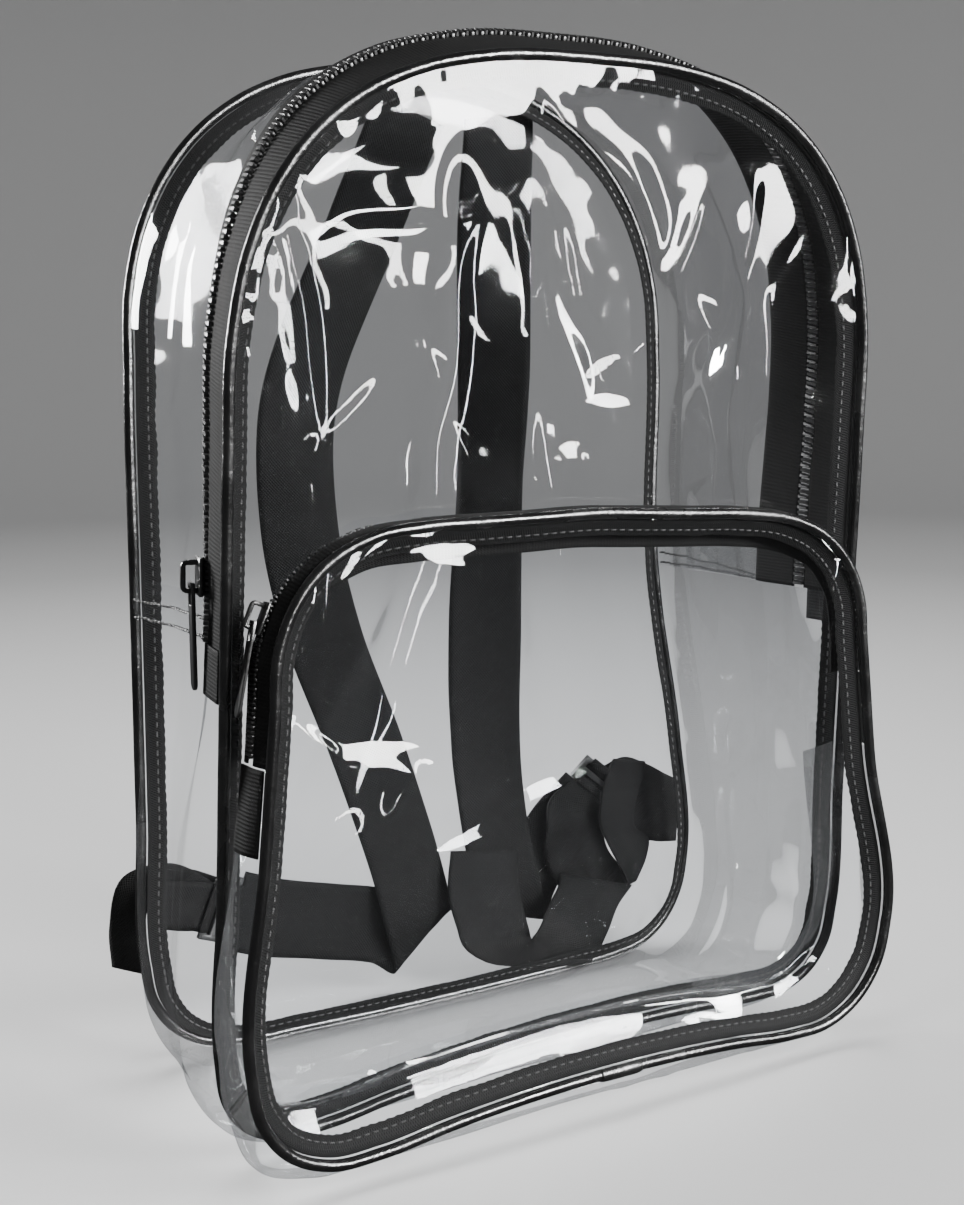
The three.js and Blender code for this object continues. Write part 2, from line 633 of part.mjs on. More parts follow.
const END_TAB = { above: 0.3, from: 4, to: 26 };
const tabColumns = [END_TAB.from, 14, END_TAB.to];
const tabStations = [ZIP_STATION, JOIN_STATION + END_TAB.above];
add('main_zip_end_right', bandWall(mainSection, tabStations, tabColumns, TAPE, outside), tape);
add('main_zip_end_left', bandWall(mainSection, tabStations.map((u) => mainCount - u).reverse(), tabColumns, TAPE,
  outside), tape);

// The main zip is closed up to its slider on the left side
const mainTeethCentre = tapeEnd + TEETH_GAP + MAIN_ZIP.teeth / 2;
const mainSliderStation = stationAtHeight(frontSeam, -1, MAIN_SLIDER_HEIGHT);
const sliderTop = stationAtHeight(frontSeam, -1, MAIN_SLIDER_HEIGHT + SLIDER.length / 2 + GAP);
add('main_zip_teeth', teethGeometry(mainSection, JOIN_STATION + SEAM_TRIM, sliderTop, MAIN_ZIP), teeth);

// Pocket: clear film below, zip band above
const pocketCount = pocketSeam.count;
const pocketLow = trimmed(-POCKET_ZIP_STATION, POCKET_ZIP_STATION, SEAM_TRIM);
const pocketHigh = trimmed(POCKET_ZIP_STATION, pocketCount - POCKET_ZIP_STATION, SEAM_TRIM);
const pocketTapeEnd = EDGE + POCKET_ZIP.tape;
const pocketRear = pocketTapeEnd + POCKET_ZIP.teeth + 2 * TEETH_GAP;
const POCKET_COLUMNS = [EDGE, 9, 17, 26, -1];
add('pocket_gusset', bandWall(pocketSection, pocketLow, POCKET_COLUMNS, FILM), film);
add('pocket_zip_tape_front', bandWall(pocketSection, pocketHigh, [EDGE, 8, pocketTapeEnd], TAPE), tape);
add('pocket_zip_tape_rear', bandWall(pocketSection, pocketHigh,
  [pocketRear, pocketRear + 4, pocketRear + 8, pocketRear + POCKET_ZIP.rearTape], TAPE), tape);
const pocketTeethCentre = pocketTapeEnd + TEETH_GAP + POCKET_ZIP.teeth / 2;
const pocketSliderStation = stationAtHeight(pocketSeam, -1, POCKET_SLIDER_HEIGHT);
const pocketSliderTop = stationAtHeight(pocketSeam, -1,
  POCKET_SLIDER_HEIGHT + POCKET_SLIDER_SCALE * SLIDER.length / 2 + GAP);
add('pocket_zip_teeth', teethGeometry(pocketSection, POCKET_ZIP_STATION + SEAM_TRIM, pocketSliderTop, POCKET_ZIP),
  teeth);
const pocketTab = [POCKET_ZIP_STATION - 1, POCKET_ZIP_STATION - SEAM_TRIM];
const pocketTabColumns = POCKET_COLUMNS.slice(0, 3);
add('pocket_zip_end_right', bandWall(pocketSection, pocketTab, pocketTabColumns, TAPE, outside), tape);
add('pocket_zip_end_left', bandWall(pocketSection, pocketTab.map((u) => pocketCount - u).reverse(),
  pocketTabColumns, TAPE, outside), tape);

// Sleeves where the two ends of a piping meet
function stationAcross(seam, x) {
  let [low, high] = [-3, 3];
  for (let k = 0; k < 40; k++) {
    const middle = (low + high) / 2;
    if (seam.at(middle).x < x) {
      low = middle;
    } else {
      high = middle;
    }
  }
  return (low + high) / 2;
}

function sleeveGeometry(seam, sleeve) {
  const centre = sleeve.x * seam.shape.bottomWidth;
  const stations = [-0.5, 0, 0.5].map((share) => stationAcross(seam, centre + share * sleeve.length));
  const radius = CORD_RADIUS + GAP + SLEEVE_WALL / 2;
  return wall(range(0, 5).map((k) => {
    const angle = radians(mix(SLEEVE_SPAN[0], SLEEVE_SPAN[1], k / 5));
    return stations.map((u) => {
      const normal = seam.normal(u).multiplyScalar(Math.cos(angle)).addScaledVector(BACKWARD, Math.sin(angle));
      return { point: seam.at(u).addScaledVector(normal, radius), normal };
    });
  }), SLEEVE_WALL);
}
add('piping_sleeve_front', sleeveGeometry(frontSeam, FRONT_SLEEVE), binding);
add('piping_sleeve_pocket', sleeveGeometry(pocketSeam, POCKET_SLEEVE), binding);

// Sliders and pulls

function manifoldFrom(geometry) {
  geometry.deleteAttribute('normal');
  geometry.deleteAttribute('uv');
  const merged = mergeVertices(geometry, 1e-4);
  return new wasm.Manifold(new wasm.Mesh({
    numProp: 3, vertProperties: merged.attributes.position.array, triVerts: Uint32Array.from(merged.index.array),
  }));
}

function geometryFrom(solid) {
  const mesh = solid.getMesh();
  const geometry = new THREE.BufferGeometry();
  geometry.setAttribute('position', new THREE.Float32BufferAttribute(mesh.vertProperties, 3));
  geometry.setIndex(Array.from(mesh.triVerts));
  geometry.computeVertexNormals();
  return geometry;
}

function extrudeCentred(shape, depth) {
  const geometry = new THREE.ExtrudeGeometry(shape, { depth, bevelEnabled: false, curveSegments: 4 });
  geometry.translate(0, 0, -depth / 2);
  return geometry;
}

// A slider in its own frame: X across the zip, Y along it, Z out of the bag
function sliderGeometry(scale) {
  const { length, width, plate, throat, web, bridgeLength, bridgeHeight, bridgeBar, bridgeWidth } = SLIDER;
  const [edge, post, low, high] = [width / 2, web / 2, throat / 2, throat / 2 + plate];
  const section = new THREE.Shape([
    [-edge, -high], [edge, -high], [edge, -low], [post, -low], [post, low], [edge, low],
    [edge, high], [-edge, high], [-edge, low], [-post, low], [-post, -low], [-edge, -low],
  ].map(([x, y]) => new THREE.Vector2(x, y)));
  const body = extrudeCentred(section, length);
  body.rotateX(Math.PI / 2);
  const [reach, top, foot] = [bridgeLength / 2, high + bridgeHeight, high - 0.2];
  const round = 3;
  const bow = new THREE.Shape();
  bow.moveTo(-reach, foot);
  bow.lineTo(-reach, top - round);
  bow.quadraticCurveTo(-reach, top, -reach + round, top);
  bow.lineTo(reach - round, top);
  bow.quadraticCurveTo(reach, top, reach, top - round);
  bow.lineTo(reach, foot);
  bow.lineTo(reach - bridgeBar, foot);
  bow.lineTo(reach - bridgeBar, top - bridgeBar);
  bow.lineTo(-reach + bridgeBar, top - bridgeBar);
  bow.lineTo(-reach + bridgeBar, foot);
  bow.closePath();
  const bridge = extrudeCentred(bow, bridgeWidth);
  bridge.applyMatrix4(new THREE.Matrix4().makeBasis(new THREE.Vector3(0, 1, 0), new THREE.Vector3(0, 0, 1),
    new THREE.Vector3(1, 0, 0)));
  return geometryFrom(manifoldFrom(body).add(manifoldFrom(bridge))).scale(scale, scale, scale);
}

// A pull in its own frame: X along the hinge, Y from the hinge to the free end, Z across its face
function pullGeometry(scale) {
  const { length, width, waist, thickness, crossbar, eye, eyeWidth } = PULL;
  const [edge, slim, bar] = [width / 2, waist / 2, crossbar / 2];
  const plate = new THREE.Shape();
  plate.moveTo(-edge, -bar);
  plate.lineTo(edge, -bar);
  plate.lineTo(edge, eye + crossbar);
  plate.lineTo(slim, eye + 3 * crossbar);
  plate.lineTo(slim, length - slim);
  plate.absarc(0, length - slim, slim, 0, Math.PI, false);
  plate.lineTo(-slim, eye + 3 * crossbar);
  plate.lineTo(-edge, eye + crossbar);
  plate.closePath();
  const slot = new THREE.Path();
  slot.moveTo(-eyeWidth / 2, bar);
  slot.lineTo(-eyeWidth / 2, bar + eye);
  slot.lineTo(eyeWidth / 2, bar + eye);
  slot.lineTo(eyeWidth / 2, bar);
  slot.closePath();
  plate.holes.push(slot);
  return extrudeCentred(plate, thickness).scale(scale, scale, scale);
}

function place(mesh, origin, xAxis, yAxis, zAxis) {
  mesh.position.copy(origin);
  mesh.quaternion.setFromRotationMatrix(new THREE.Matrix4().makeBasis(xAxis, yAxis, zAxis));
}

// The pull's hinge is its crossbar, inside the lower corner of the bridge.
const HINGE = { along: SLIDER.bridgeLength / 2 - SLIDER.bridgeBar - 1.5,
  out: SLIDER.throat / 2 + SLIDER.plate + (SLIDER.bridgeHeight - SLIDER.bridgeBar) / 2 };

function addSlider(name, sectionAt, u, distance, scale, lean) {
  const { point, normal, along } = walkChord(sectionAt, u, distance);
  const down = new THREE.Vector3().crossVectors(normal, along);
  place(add(`${name}_slider`, sliderGeometry(scale), enamel), point, along, down, normal);
  const hinge = point.clone().addScaledVector(down, HINGE.along * scale).addScaledVector(normal, HINGE.out * scale);
  const axis = along.clone();
  const hang = new THREE.Vector3(0, 0, -1).addScaledVector(axis, axis.z).normalize();
  hang.applyAxisAngle(axis, radians(lean));
  place(add(`${name}_pull`, pullGeometry(scale), enamel), hinge, axis, hang,
    new THREE.Vector3().crossVectors(axis, hang));
}
addSlider('main', mainSection, mainSliderStation, mainTeethCentre, 1, 0);
addSlider('pocket', pocketSection, pocketSliderStation, pocketTeethCentre, POCKET_SLIDER_SCALE, POCKET_PULL_LEAN);

// Straps

function backTopAt(x) {
  let [low, high] = [CORNER_END, mainCount - CORNER_END];
  for (let k = 0; k < 40; k++) {
    const middle = (low + high) / 2;
    if (backSeam.at(middle).x > x) {
      low = middle;
    } else {
      high = middle;
    }
  }
  return backSeam.at((low + high) / 2).z;
}

// The straps' tops are level, just under the piping at their higher corner
const strapTop = Math.min(...[STRAP_LEFT, STRAP_RIGHT].flatMap(([first]) => [-0.5, 0.5]
  .map((side) => backTopAt(first.x * BACK.bottomWidth + side * STRAP_WIDTH)))) - EDGE - STRAP_TUCK;

function strapPoint(row) {
  const z = row.z * strapTop;
  const seat = FILM / 2 + GAP + STRAP_THICKNESS / 2;
  return new THREE.Vector3(row.x * BACK.bottomWidth,
    planeAt(BACK, z) + Math.max(seat, row.back * STRAP_STANDOFF), z);
}

function ribbonRing(centre, across, face, width, thickness) {
  return [[-1, -1], [1, -1], [1, 1], [-1, 1]].map(([side, level]) => centre.clone()
    .addScaledVector(across, side * width / 2).addScaledVector(face, level * thickness / 2));
}

// The rings of a flat ribbon in the plane of the back; at a fold it turns over along a slanting line.
function ribbonRings(rows, width, thickness) {
  const points = rows.map(strapPoint);
  let flip = 1;
  return rows.map((row, k) => {
    const before = points[k].clone().sub(points[Math.max(0, k - 1)]).setY(0).normalize();
    const after = points[Math.min(rows.length - 1, k + 1)].clone().sub(points[k]).setY(0).normalize();
    const along = before.clone().add(after).normalize();
    let across = new THREE.Vector3(-along.z, 0, along.x);
    let reach = width;
    let face = new THREE.Vector3(0, -1, 0);
    if (row.fold) {
      const level = new THREE.Vector3(-before.z, 0, before.x);
      across = along.clone().multiplyScalar(Math.sign(along.dot(level)) || 1);
      reach = width / Math.abs(new THREE.Vector3().crossVectors(before, along).y);
      face = new THREE.Vector3().crossVectors(across, BACKWARD);
      face.multiplyScalar(Math.sign(face.dot(before)) || 1);
      flip = -1;
    } else {
      across.multiplyScalar(flip);
      face.multiplyScalar(flip);
      const turn = radians(row.twist);
      const flat = across.clone();
      across = flat.clone().multiplyScalar(Math.cos(turn)).addScaledVector(face, Math.sin(turn));
      face.multiplyScalar(Math.cos(turn)).addScaledVector(flat, -Math.sin(turn));
    }
    return ribbonRing(points[k], across, face, reach, thickness);
  });
}
add('shoulder_strap_left', shell(ribbonRings(STRAP_LEFT, STRAP_WIDTH, STRAP_THICKNESS)), webbing);
add('shoulder_strap_right', shell(ribbonRings(STRAP_RIGHT, STRAP_WIDTH, STRAP_THICKNESS)), webbing);

// A slotted adjuster at a strap's end, and the webbing from it to the back seam
function addAdjuster(side, rows) {
  const last = strapPoint(rows[rows.length - 1]);
  const along = last.clone().sub(strapPoint(rows[rows.length - 2])).normalize();
  const across = new THREE.Vector3().crossVectors(BACKWARD, along).normalize();
  const face = new THREE.Vector3().crossVectors(across, along);
  const { width, height, thickness, bar } = ADJUSTER;
  const frame = new THREE.Shape([[-width / 2, 0], [width / 2, 0], [width / 2, height], [-width / 2, height]]
    .map(([x, y]) => new THREE.Vector2(x, y)));
  const slot = (height - 3 * bar) / 2;
  for (const low of [bar, 2 * bar + slot]) {
    const [left, right] = [-width / 2 + bar, width / 2 - bar];
    frame.holes.push(new THREE.Path([[left, low], [left, low + slot], [right, low + slot], [right, low]]
      .map(([x, y]) => new THREE.Vector2(x, y))));
  }
  const start = last.clone().addScaledVector(along, GAP);
  place(add(`adjuster_${side}`, extrudeCentred(frame, thickness), nylon), start, across, along, face);
  const from = start.clone().addScaledVector(along, height + GAP);
  const seamSide = Math.sign(from.x);
  const seat = backSeam.at(stationAtHeight(backSeam, seamSide, from.z + 8));
  const to = seat.clone().add(new THREE.Vector3(-seamSide * (EDGE + 3),
    FILM / 2 + GAP + WEBBING_THICKNESS / 2 + 0.2, 0));
  const way = to.clone().sub(from).normalize();
  const level = new THREE.Vector3().crossVectors(BACKWARD, way).normalize();
  const out = new THREE.Vector3().crossVectors(level, way);
  const ends = [{ centre: from, level: across, out: face }, { centre: to, level, out }];
  add(`lower_webbing_${side}`, shell(ends.map((end) => ribbonRing(end.centre, end.level, end.out,
    WEBBING_WIDTH, WEBBING_THICKNESS))), webbing);
  return { start, along, across, face };
}
const leftAdjuster = addAdjuster('left', STRAP_LEFT);
addAdjuster('right', STRAP_RIGHT);

// The loose end lies on the adjuster's outer face where it leaves it
const tailStart = leftAdjuster.start.clone().addScaledVector(leftAdjuster.along, ADJUSTER.height / 2)
  .addScaledVector(leftAdjuster.face, -(ADJUSTER.thickness + WEBBING_THICKNESS) / 2 - GAP);
add('webbing_tail_left', shell([
  ribbonRing(tailStart, leftAdjuster.across.clone().negate(), leftAdjuster.face, TAIL_WIDTH, WEBBING_THICKNESS),
  ...ribbonRings(TAIL_LEFT, TAIL_WIDTH, WEBBING_THICKNESS),
]), webbing);

// The bag stands with the middle of its box on the origin
group.updateMatrixWorld(true);
const box = new THREE.Box3().setFromObject(group, true);
const middle = box.getCenter(new THREE.Vector3());
bag.position.set(-middle.x, -middle.y, -box.min.z);

export default group;
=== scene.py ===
# %% [markdown]
# # A clear backpack
# The real bag is sewn from sheets of clear vinyl, half a millimetre thick. Black cord, black tape and two
# zips outline it, and its webbing straps show through it. This lesson dresses the measured frame of
# that bag: the frame says where everything is, and each cell gives one piece its real form and finish.

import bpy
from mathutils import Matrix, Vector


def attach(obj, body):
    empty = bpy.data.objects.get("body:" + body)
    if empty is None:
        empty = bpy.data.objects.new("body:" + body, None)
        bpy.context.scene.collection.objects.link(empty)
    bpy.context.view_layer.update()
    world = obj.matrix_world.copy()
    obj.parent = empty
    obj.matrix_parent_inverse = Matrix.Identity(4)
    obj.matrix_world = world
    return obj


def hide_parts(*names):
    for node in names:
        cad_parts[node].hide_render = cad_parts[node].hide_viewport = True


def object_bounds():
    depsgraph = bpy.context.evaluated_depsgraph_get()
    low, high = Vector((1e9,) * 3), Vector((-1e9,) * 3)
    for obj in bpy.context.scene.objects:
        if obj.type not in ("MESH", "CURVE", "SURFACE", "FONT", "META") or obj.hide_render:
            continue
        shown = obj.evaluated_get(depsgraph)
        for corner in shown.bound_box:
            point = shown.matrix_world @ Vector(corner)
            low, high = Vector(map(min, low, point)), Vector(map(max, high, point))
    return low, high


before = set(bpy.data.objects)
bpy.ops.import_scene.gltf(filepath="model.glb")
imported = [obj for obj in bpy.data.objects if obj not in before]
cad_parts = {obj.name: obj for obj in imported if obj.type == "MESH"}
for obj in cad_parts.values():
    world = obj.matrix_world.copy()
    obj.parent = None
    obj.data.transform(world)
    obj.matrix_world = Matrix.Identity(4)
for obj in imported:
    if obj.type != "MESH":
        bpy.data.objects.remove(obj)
cad_low, cad_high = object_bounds()
print("frame box", [round(v, 4) for v in (*cad_low, *cad_high)])

# %% [markdown]
# The tools of this lesson: Blender's own modules, numpy for rows of numbers, and a tree that rays can hit.
# Everything is in metres, so a millimetre has a name.

# %% Tools
import itertools
import math

import bmesh
import bpy
import numpy as np
from mathutils import Matrix, Vector, noise
from mathutils.bvhtree import BVHTree

MM = 0.001
BACKWARD = np.array([0.0, 1.0, 0.0])

# %% [markdown]
# The camera comes first, because every later picture is judged through it. Its place and its three turns
# were solved from the photograph's own lines. A lens in pixels becomes millimetres on a 36 mm sensor that
# lies along the picture's long side.

# %% The camera
PICTURE_HEIGHT = 1205
FOCAL_PIXELS = 1664
SENSOR = 36
CAMERA_PLACE = (-0.38008, -0.65372, 0.3317)
CAMERA_YAW = 30.457
CAMERA_PITCH = 9.373
CAMERA_ROLL = -0.579


def camera_axes(yaw, pitch, roll):
    """The camera's right, up and backward directions."""
    turn = [math.radians(a) for a in (yaw, pitch, roll)]
    forward = Vector((math.sin(turn[0]) * math.cos(turn[1]), math.cos(turn[0]) * math.cos(turn[1]),
                      -math.sin(turn[1])))
    right = Vector((math.cos(turn[0]), -math.sin(turn[0]), 0))
    up = right.cross(forward)
    tilted = right * math.cos(turn[2]) + up * math.sin(turn[2])
    return tilted, up * math.cos(turn[2]) - right * math.sin(turn[2]), -forward


bpy.ops.object.camera_add(location=CAMERA_PLACE)
camera = bpy.context.active_object
camera.name = "photo_camera"
axes = camera_axes(CAMERA_YAW, CAMERA_PITCH, CAMERA_ROLL)
camera.matrix_world = Matrix.Translation(CAMERA_PLACE) @ Matrix(axes).transposed().to_4x4()
camera.data.sensor_width = SENSOR
camera.data.lens = SENSOR * FOCAL_PIXELS / PICTURE_HEIGHT
bpy.context.scene.camera = camera
print("lens", round(camera.data.lens, 2), "mm")

# %% [markdown]
# Materials are graphs of nodes. Written out in full they are long, so one small class wraps a socket and
# lets plain arithmetic add the Math nodes, and a second class makes any other node from its type, its
# settings and the values of its sockets.

# %% A finish and the maths on its sockets


class Wave:
    """A number that changes over a surface. Arithmetic on it adds Math nodes."""

    def __init__(self, finish, socket):
        self.finish = finish
        self.socket = socket

    def math(self, operation, first, second=0.0, clamp=False):
        made = self.finish.node("ShaderNodeMath", {0: first, 1: second}, operation=operation, use_clamp=clamp)
        return Wave(self.finish, made.outputs[0])

    def __add__(self, other):
        return self.math("ADD", self, other)

    __radd__ = __add__

    def __mul__(self, other):
        return self.math("MULTIPLY", self, other)

    __rmul__ = __mul__

    def __sub__(self, other):
        return self.math("SUBTRACT", self, other)

    def __rsub__(self, other):
        return self.math("SUBTRACT", other, self)

    def __truediv__(self, other):
        return self.math("DIVIDE", self, other)

    def __pow__(self, other):
        return self.math("POWER", self, other)

    def sine(self):
        return self.math("SINE", self)

    def between(self, low, high):
        """0 below low, 1 above high, and a straight way between."""
        return self.math("ADD", (self - low) / (high - low), 0.0, clamp=True)


class Finish:
    """A material with its nodes."""

    def __init__(self, name):
        self.material = bpy.data.materials.new(name)
        self.material.use_nodes = True
        self.tree = self.material.node_tree
        self.tree.nodes.clear()

    def node(self, kind, sockets=None, **settings):
        made = self.tree.nodes.new(kind)
        for key, value in settings.items():
            setattr(made, key, value)
        for key, value in (sockets or {}).items():
            if isinstance(value, Wave):
                value = value.socket
            if isinstance(value, bpy.types.NodeSocket):
                self.tree.links.new(value, made.inputs[key])
            else:
                made.inputs[key].default_value = value
        return made

    def place(self, kind="Object"):
        return self.node("ShaderNodeTexCoord").outputs[kind]

    def axis(self, letter, kind="Object"):
        apart = self.node("ShaderNodeSeparateXYZ", {0: self.place(kind)})
        return Wave(self, apart.outputs[letter])

    def noise(self, scale, detail=2.0, roughness=0.5):
        made = self.node("ShaderNodeTexNoise", {"Vector": self.place(), "Scale": scale, "Detail": detail,
                                                "Roughness": roughness})
        return Wave(self, made.outputs[0])

    def blend(self, share, first, second):
        """A colour between two colours."""
        made = self.node("ShaderNodeMix", {0: share, 6: first, 7: second}, data_type="RGBA")
        return made.outputs[2]

    def bump(self, height, distance):
        made = self.node("ShaderNodeBump", {"Height": height, "Distance": distance, "Strength": 1.0})
        return made.outputs[0]

    def shader(self, **sockets):
        named = {key.replace("_", " "): value for key, value in sockets.items()}
        return self.node("ShaderNodeBsdfPrincipled", named).outputs[0]

    def done(self, surface):
        self.node("ShaderNodeOutputMaterial", {"Surface": surface})
        return self.material


def grey(level):
    return (level, level, level, 1.0)


# %% [markdown]
# Clear vinyl lets light through and mirrors a little of it, more at a glancing angle. A Transparent
# shader and a mirror-like one are mixed by Fresnel, weakened a little so that the straps behind several
# sheets stay dark. A low haze is added where the film is handled, and a fine ripple in the bump breaks up
# the reflections.

# %% The film's finish
FILM_INDEX = 1.5
FILM_GLOSS = 0.55
FILM_TINT = (0.965, 0.972, 0.98, 1)
RIPPLE_HIGH = 1.1 * MM


def film_finish(name, haze, ripple):
    finish = Finish(name)
    cloud = finish.noise(32, 1, 0.5)
    normal = finish.bump(cloud, RIPPLE_HIGH * ripple)
    fresnel = Wave(finish, finish.node("ShaderNodeFresnel", {"IOR": FILM_INDEX, "Normal": normal}).outputs[0])
    share = fresnel * FILM_GLOSS + cloud.between(0.4, 0.8) * haze
    gloss = finish.shader(Base_Color=grey(0.92), Metallic=0.95, Roughness=0.035, Normal=normal)
    clear = finish.node("ShaderNodeBsdfTransparent", {"Color": FILM_TINT}).outputs[0]
    mixed = finish.node("ShaderNodeMixShader", {0: share, 1: clear, 2: gloss}).outputs[0]
    return finish.done(mixed)


FILM = film_finish("clear_vinyl", 0.008, 0.5)
GUSSET_FILM = film_finish("clear_vinyl_gusset", 0.006, 0.5)

# %% [markdown]
# The blacks are six different things. The piping is smooth plastic with a sharp shine, the binding and
# the zip tapes are woven, the teeth are moulded, the sliders are enamelled metal, and the straps are
# webbing with ribs across. Each gets its own graph, with its weave laid along the piece's UV map.

# %% The black finishes


def cord_finish():
    finish = Finish("piping_vinyl")
    dents = finish.noise(260, 3, 0.6)
    rub = finish.noise(35, 3, 0.6).between(0.4, 0.8)
    return finish.done(finish.shader(
        Base_Color=finish.blend(rub, grey(0.006), grey(0.014)), Roughness=0.2 + rub * 0.16,
        Normal=finish.bump(dents, 0.35 * MM)))


def weave_finish(name, base, along, across, rough, depth, twill=0.0):
    """Cloth with a weave counted along and across the piece's UV map; twill slants it."""
    finish = Finish(name)
    u = finish.axis("X", "UV")
    v = finish.axis("Y", "UV")
    ribs = ((v * along + u * (across * twill)) * math.tau).sine()
    threads = (u * (across * math.tau)).sine()
    over = ribs * threads
    lint = finish.noise(900, 3, 0.6)
    fade = finish.noise(45, 4, 0.6)
    height = over * 0.5 + lint * 0.5
    shade = (over * 0.22 + fade * 0.9 + lint * 0.5).between(0.2, 1.5)
    colour = finish.blend(shade, grey(base * 0.3), grey(base * 1.4))
    return finish.done(finish.shader(
        Base_Color=colour, Roughness=rough + shade * 0.1, Specular_IOR_Level=0.1,
        Sheen_Weight=0.005, Sheen_Roughness=0.4, Normal=finish.bump(height, depth)))


def teeth_finish():
    finish = Finish("zip_teeth_nylon")
    grain = finish.noise(500, 2, 0.5)
    return finish.done(finish.shader(
        Base_Color=finish.blend(grain, grey(0.008), grey(0.022)), Roughness=0.3 + grain * 0.12,
        Normal=finish.bump(grain, 0.1 * MM)))


def enamel_finish():
    finish = Finish("slider_enamel")
    chips = finish.noise(420, 4, 0.65)
    worn = chips.between(0.66, 0.72)
    return finish.done(finish.shader(
        Base_Color=finish.blend(worn, grey(0.008), grey(0.09)), Metallic=worn * 0.6,
        Roughness=0.24 + chips * 0.14, Coat_Weight=0.4, Coat_Roughness=0.12,
        Normal=finish.bump(chips, 0.12 * MM)))


def nylon_finish():
    finish = Finish("adjuster_nylon")
    grain = finish.noise(650, 3, 0.6)
    return finish.done(finish.shader(
        Base_Color=finish.blend(grain, grey(0.01), grey(0.03)), Roughness=0.38 + grain * 0.15,
        Normal=finish.bump(grain, 0.15 * MM)))


CORD = cord_finish()
TEETH = teeth_finish()
ENAMEL = enamel_finish()
NYLON = nylon_finish()

# %% [markdown]
# The frame's three pipings are rings of six points at each station of a seam. In every ring two points
# lie straight behind each other, one cord thickness apart, and the ring's centre is halfway between them.
# Sorted round the panel, the centres are the seams that every sheet and tape hangs on.

# %% The seams, read from the frame's pipings
CORD_WIDE = 4.8 * MM
TOUCH = 0.03 * MM


def merged(node):
    """A CAD node's corners, each once, with its faces."""
    cage = bmesh.new()
    cage.from_mesh(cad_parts[node].data)
    bmesh.ops.remove_doubles(cage, verts=cage.verts, dist=0.01 * MM)
    cage.verts.ensure_lookup_table()
    return cage


def seam_centres(node):
    cage = merged(node)
    corners = np.array([v.co for v in cage.verts])
    cage.free()
    gap = corners[None, :, :] - corners[:, None, :]
    behind = (abs(gap[..., 0]) < TOUCH) & (abs(gap[..., 2]) < TOUCH) & (abs(gap[..., 1] - CORD_WIDE) < TOUCH)
    first, second = np.nonzero(behind)
    centres = (corners[first] + corners[second]) / 2
    middle = (centres.min(0) + centres.max(0)) / 2
    angle = np.arctan2(centres[:, 0] - middle[0], middle[2] - centres[:, 2])
    return centres[np.argsort((angle + 0.02) % math.tau)]


front_seam = seam_centres("front_piping")
back_seam = seam_centres("back_piping")
pocket_seam = seam_centres("pocket_piping")
print("stations", len(front_seam), len(back_seam), len(pocket_seam))

# %% [markdown]
# The stations lie a few centimetres apart. A smooth line through them, with its slope at each station
# taken from both neighbours, gives back the curve of the sewn seam, and the same sum works on whole
# sections of the gusset at once.

# %% A smooth way round a loop


def knots_of(stations):
    """How far along the loop each station lies, with the whole length last."""
    steps = np.linalg.norm(np.roll(stations, -1, 0) - stations, axis=1)
    return np.concatenate([[0], np.cumsum(steps)])


def round_loop(rows, knots, where):
    """The values of rows, one for each station of a loop, at the lengths where."""
    flat = rows.reshape(len(rows), -1)
    step = np.diff(knots)[:, None]
    slope = (np.roll(flat, -1, 0) - flat) / step
    before = np.roll(slope, 1, 0)
    gap = np.roll(step, 1, 0)
    tangent = (slope * gap + before * step) / (gap + step)
    where = np.asarray(where, float) % knots[-1]
    low = np.clip(np.searchsorted(knots, where, "right") - 1, 0, len(rows) - 1)
    high = (low + 1) % len(rows)
    width = step[low]
    t = ((where - knots[low]) / width[:, 0])[:, None]
    value = ((2 * t**3 - 3 * t**2 + 1) * flat[low] + (t**3 - 2 * t**2 + t) * width * tangent[low]
             + (3 * t**2 - 2 * t**3) * flat[high] + (t**3 - t**2) * width * tangent[high])
    return value.reshape((len(where),) + rows.shape[1:])


def outward(stations):
    """The direction away from the panel's middle, square to the seam, at each station."""
    along = np.roll(stations, -1, 0) - np.roll(stations, 1, 0)
    along[:, 1] = 0
    along /= np.linalg.norm(along, axis=1)[:, None]
    return np.stack([along[:, 2], np.zeros(len(along)), -along[:, 0]], 1)


# %% [markdown]
# Between two seams the gusset has its slack: it bellies out at the top, caves in behind the zip on the
# left, and sags to the floor below. Rays shot inward at the frame's own walls read that slack at every
# station, and the reading gives a surface to lay film, tape and teeth on, by the distance from a seam.

# %% The bands between the seams
REACH = 60 * MM
SPLIT = 0.04
SHARES = np.linspace(0, 1, 33)


def hit_tree(*nodes):
    corners, faces = [], []
    for node in nodes:
        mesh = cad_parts[node].data
        start = len(corners)
        corners += [v.co.copy() for v in mesh.vertices]
        faces += [[start + i for i in p.vertices] for p in mesh.polygons]
    return BVHTree.FromPolygons(corners, faces)


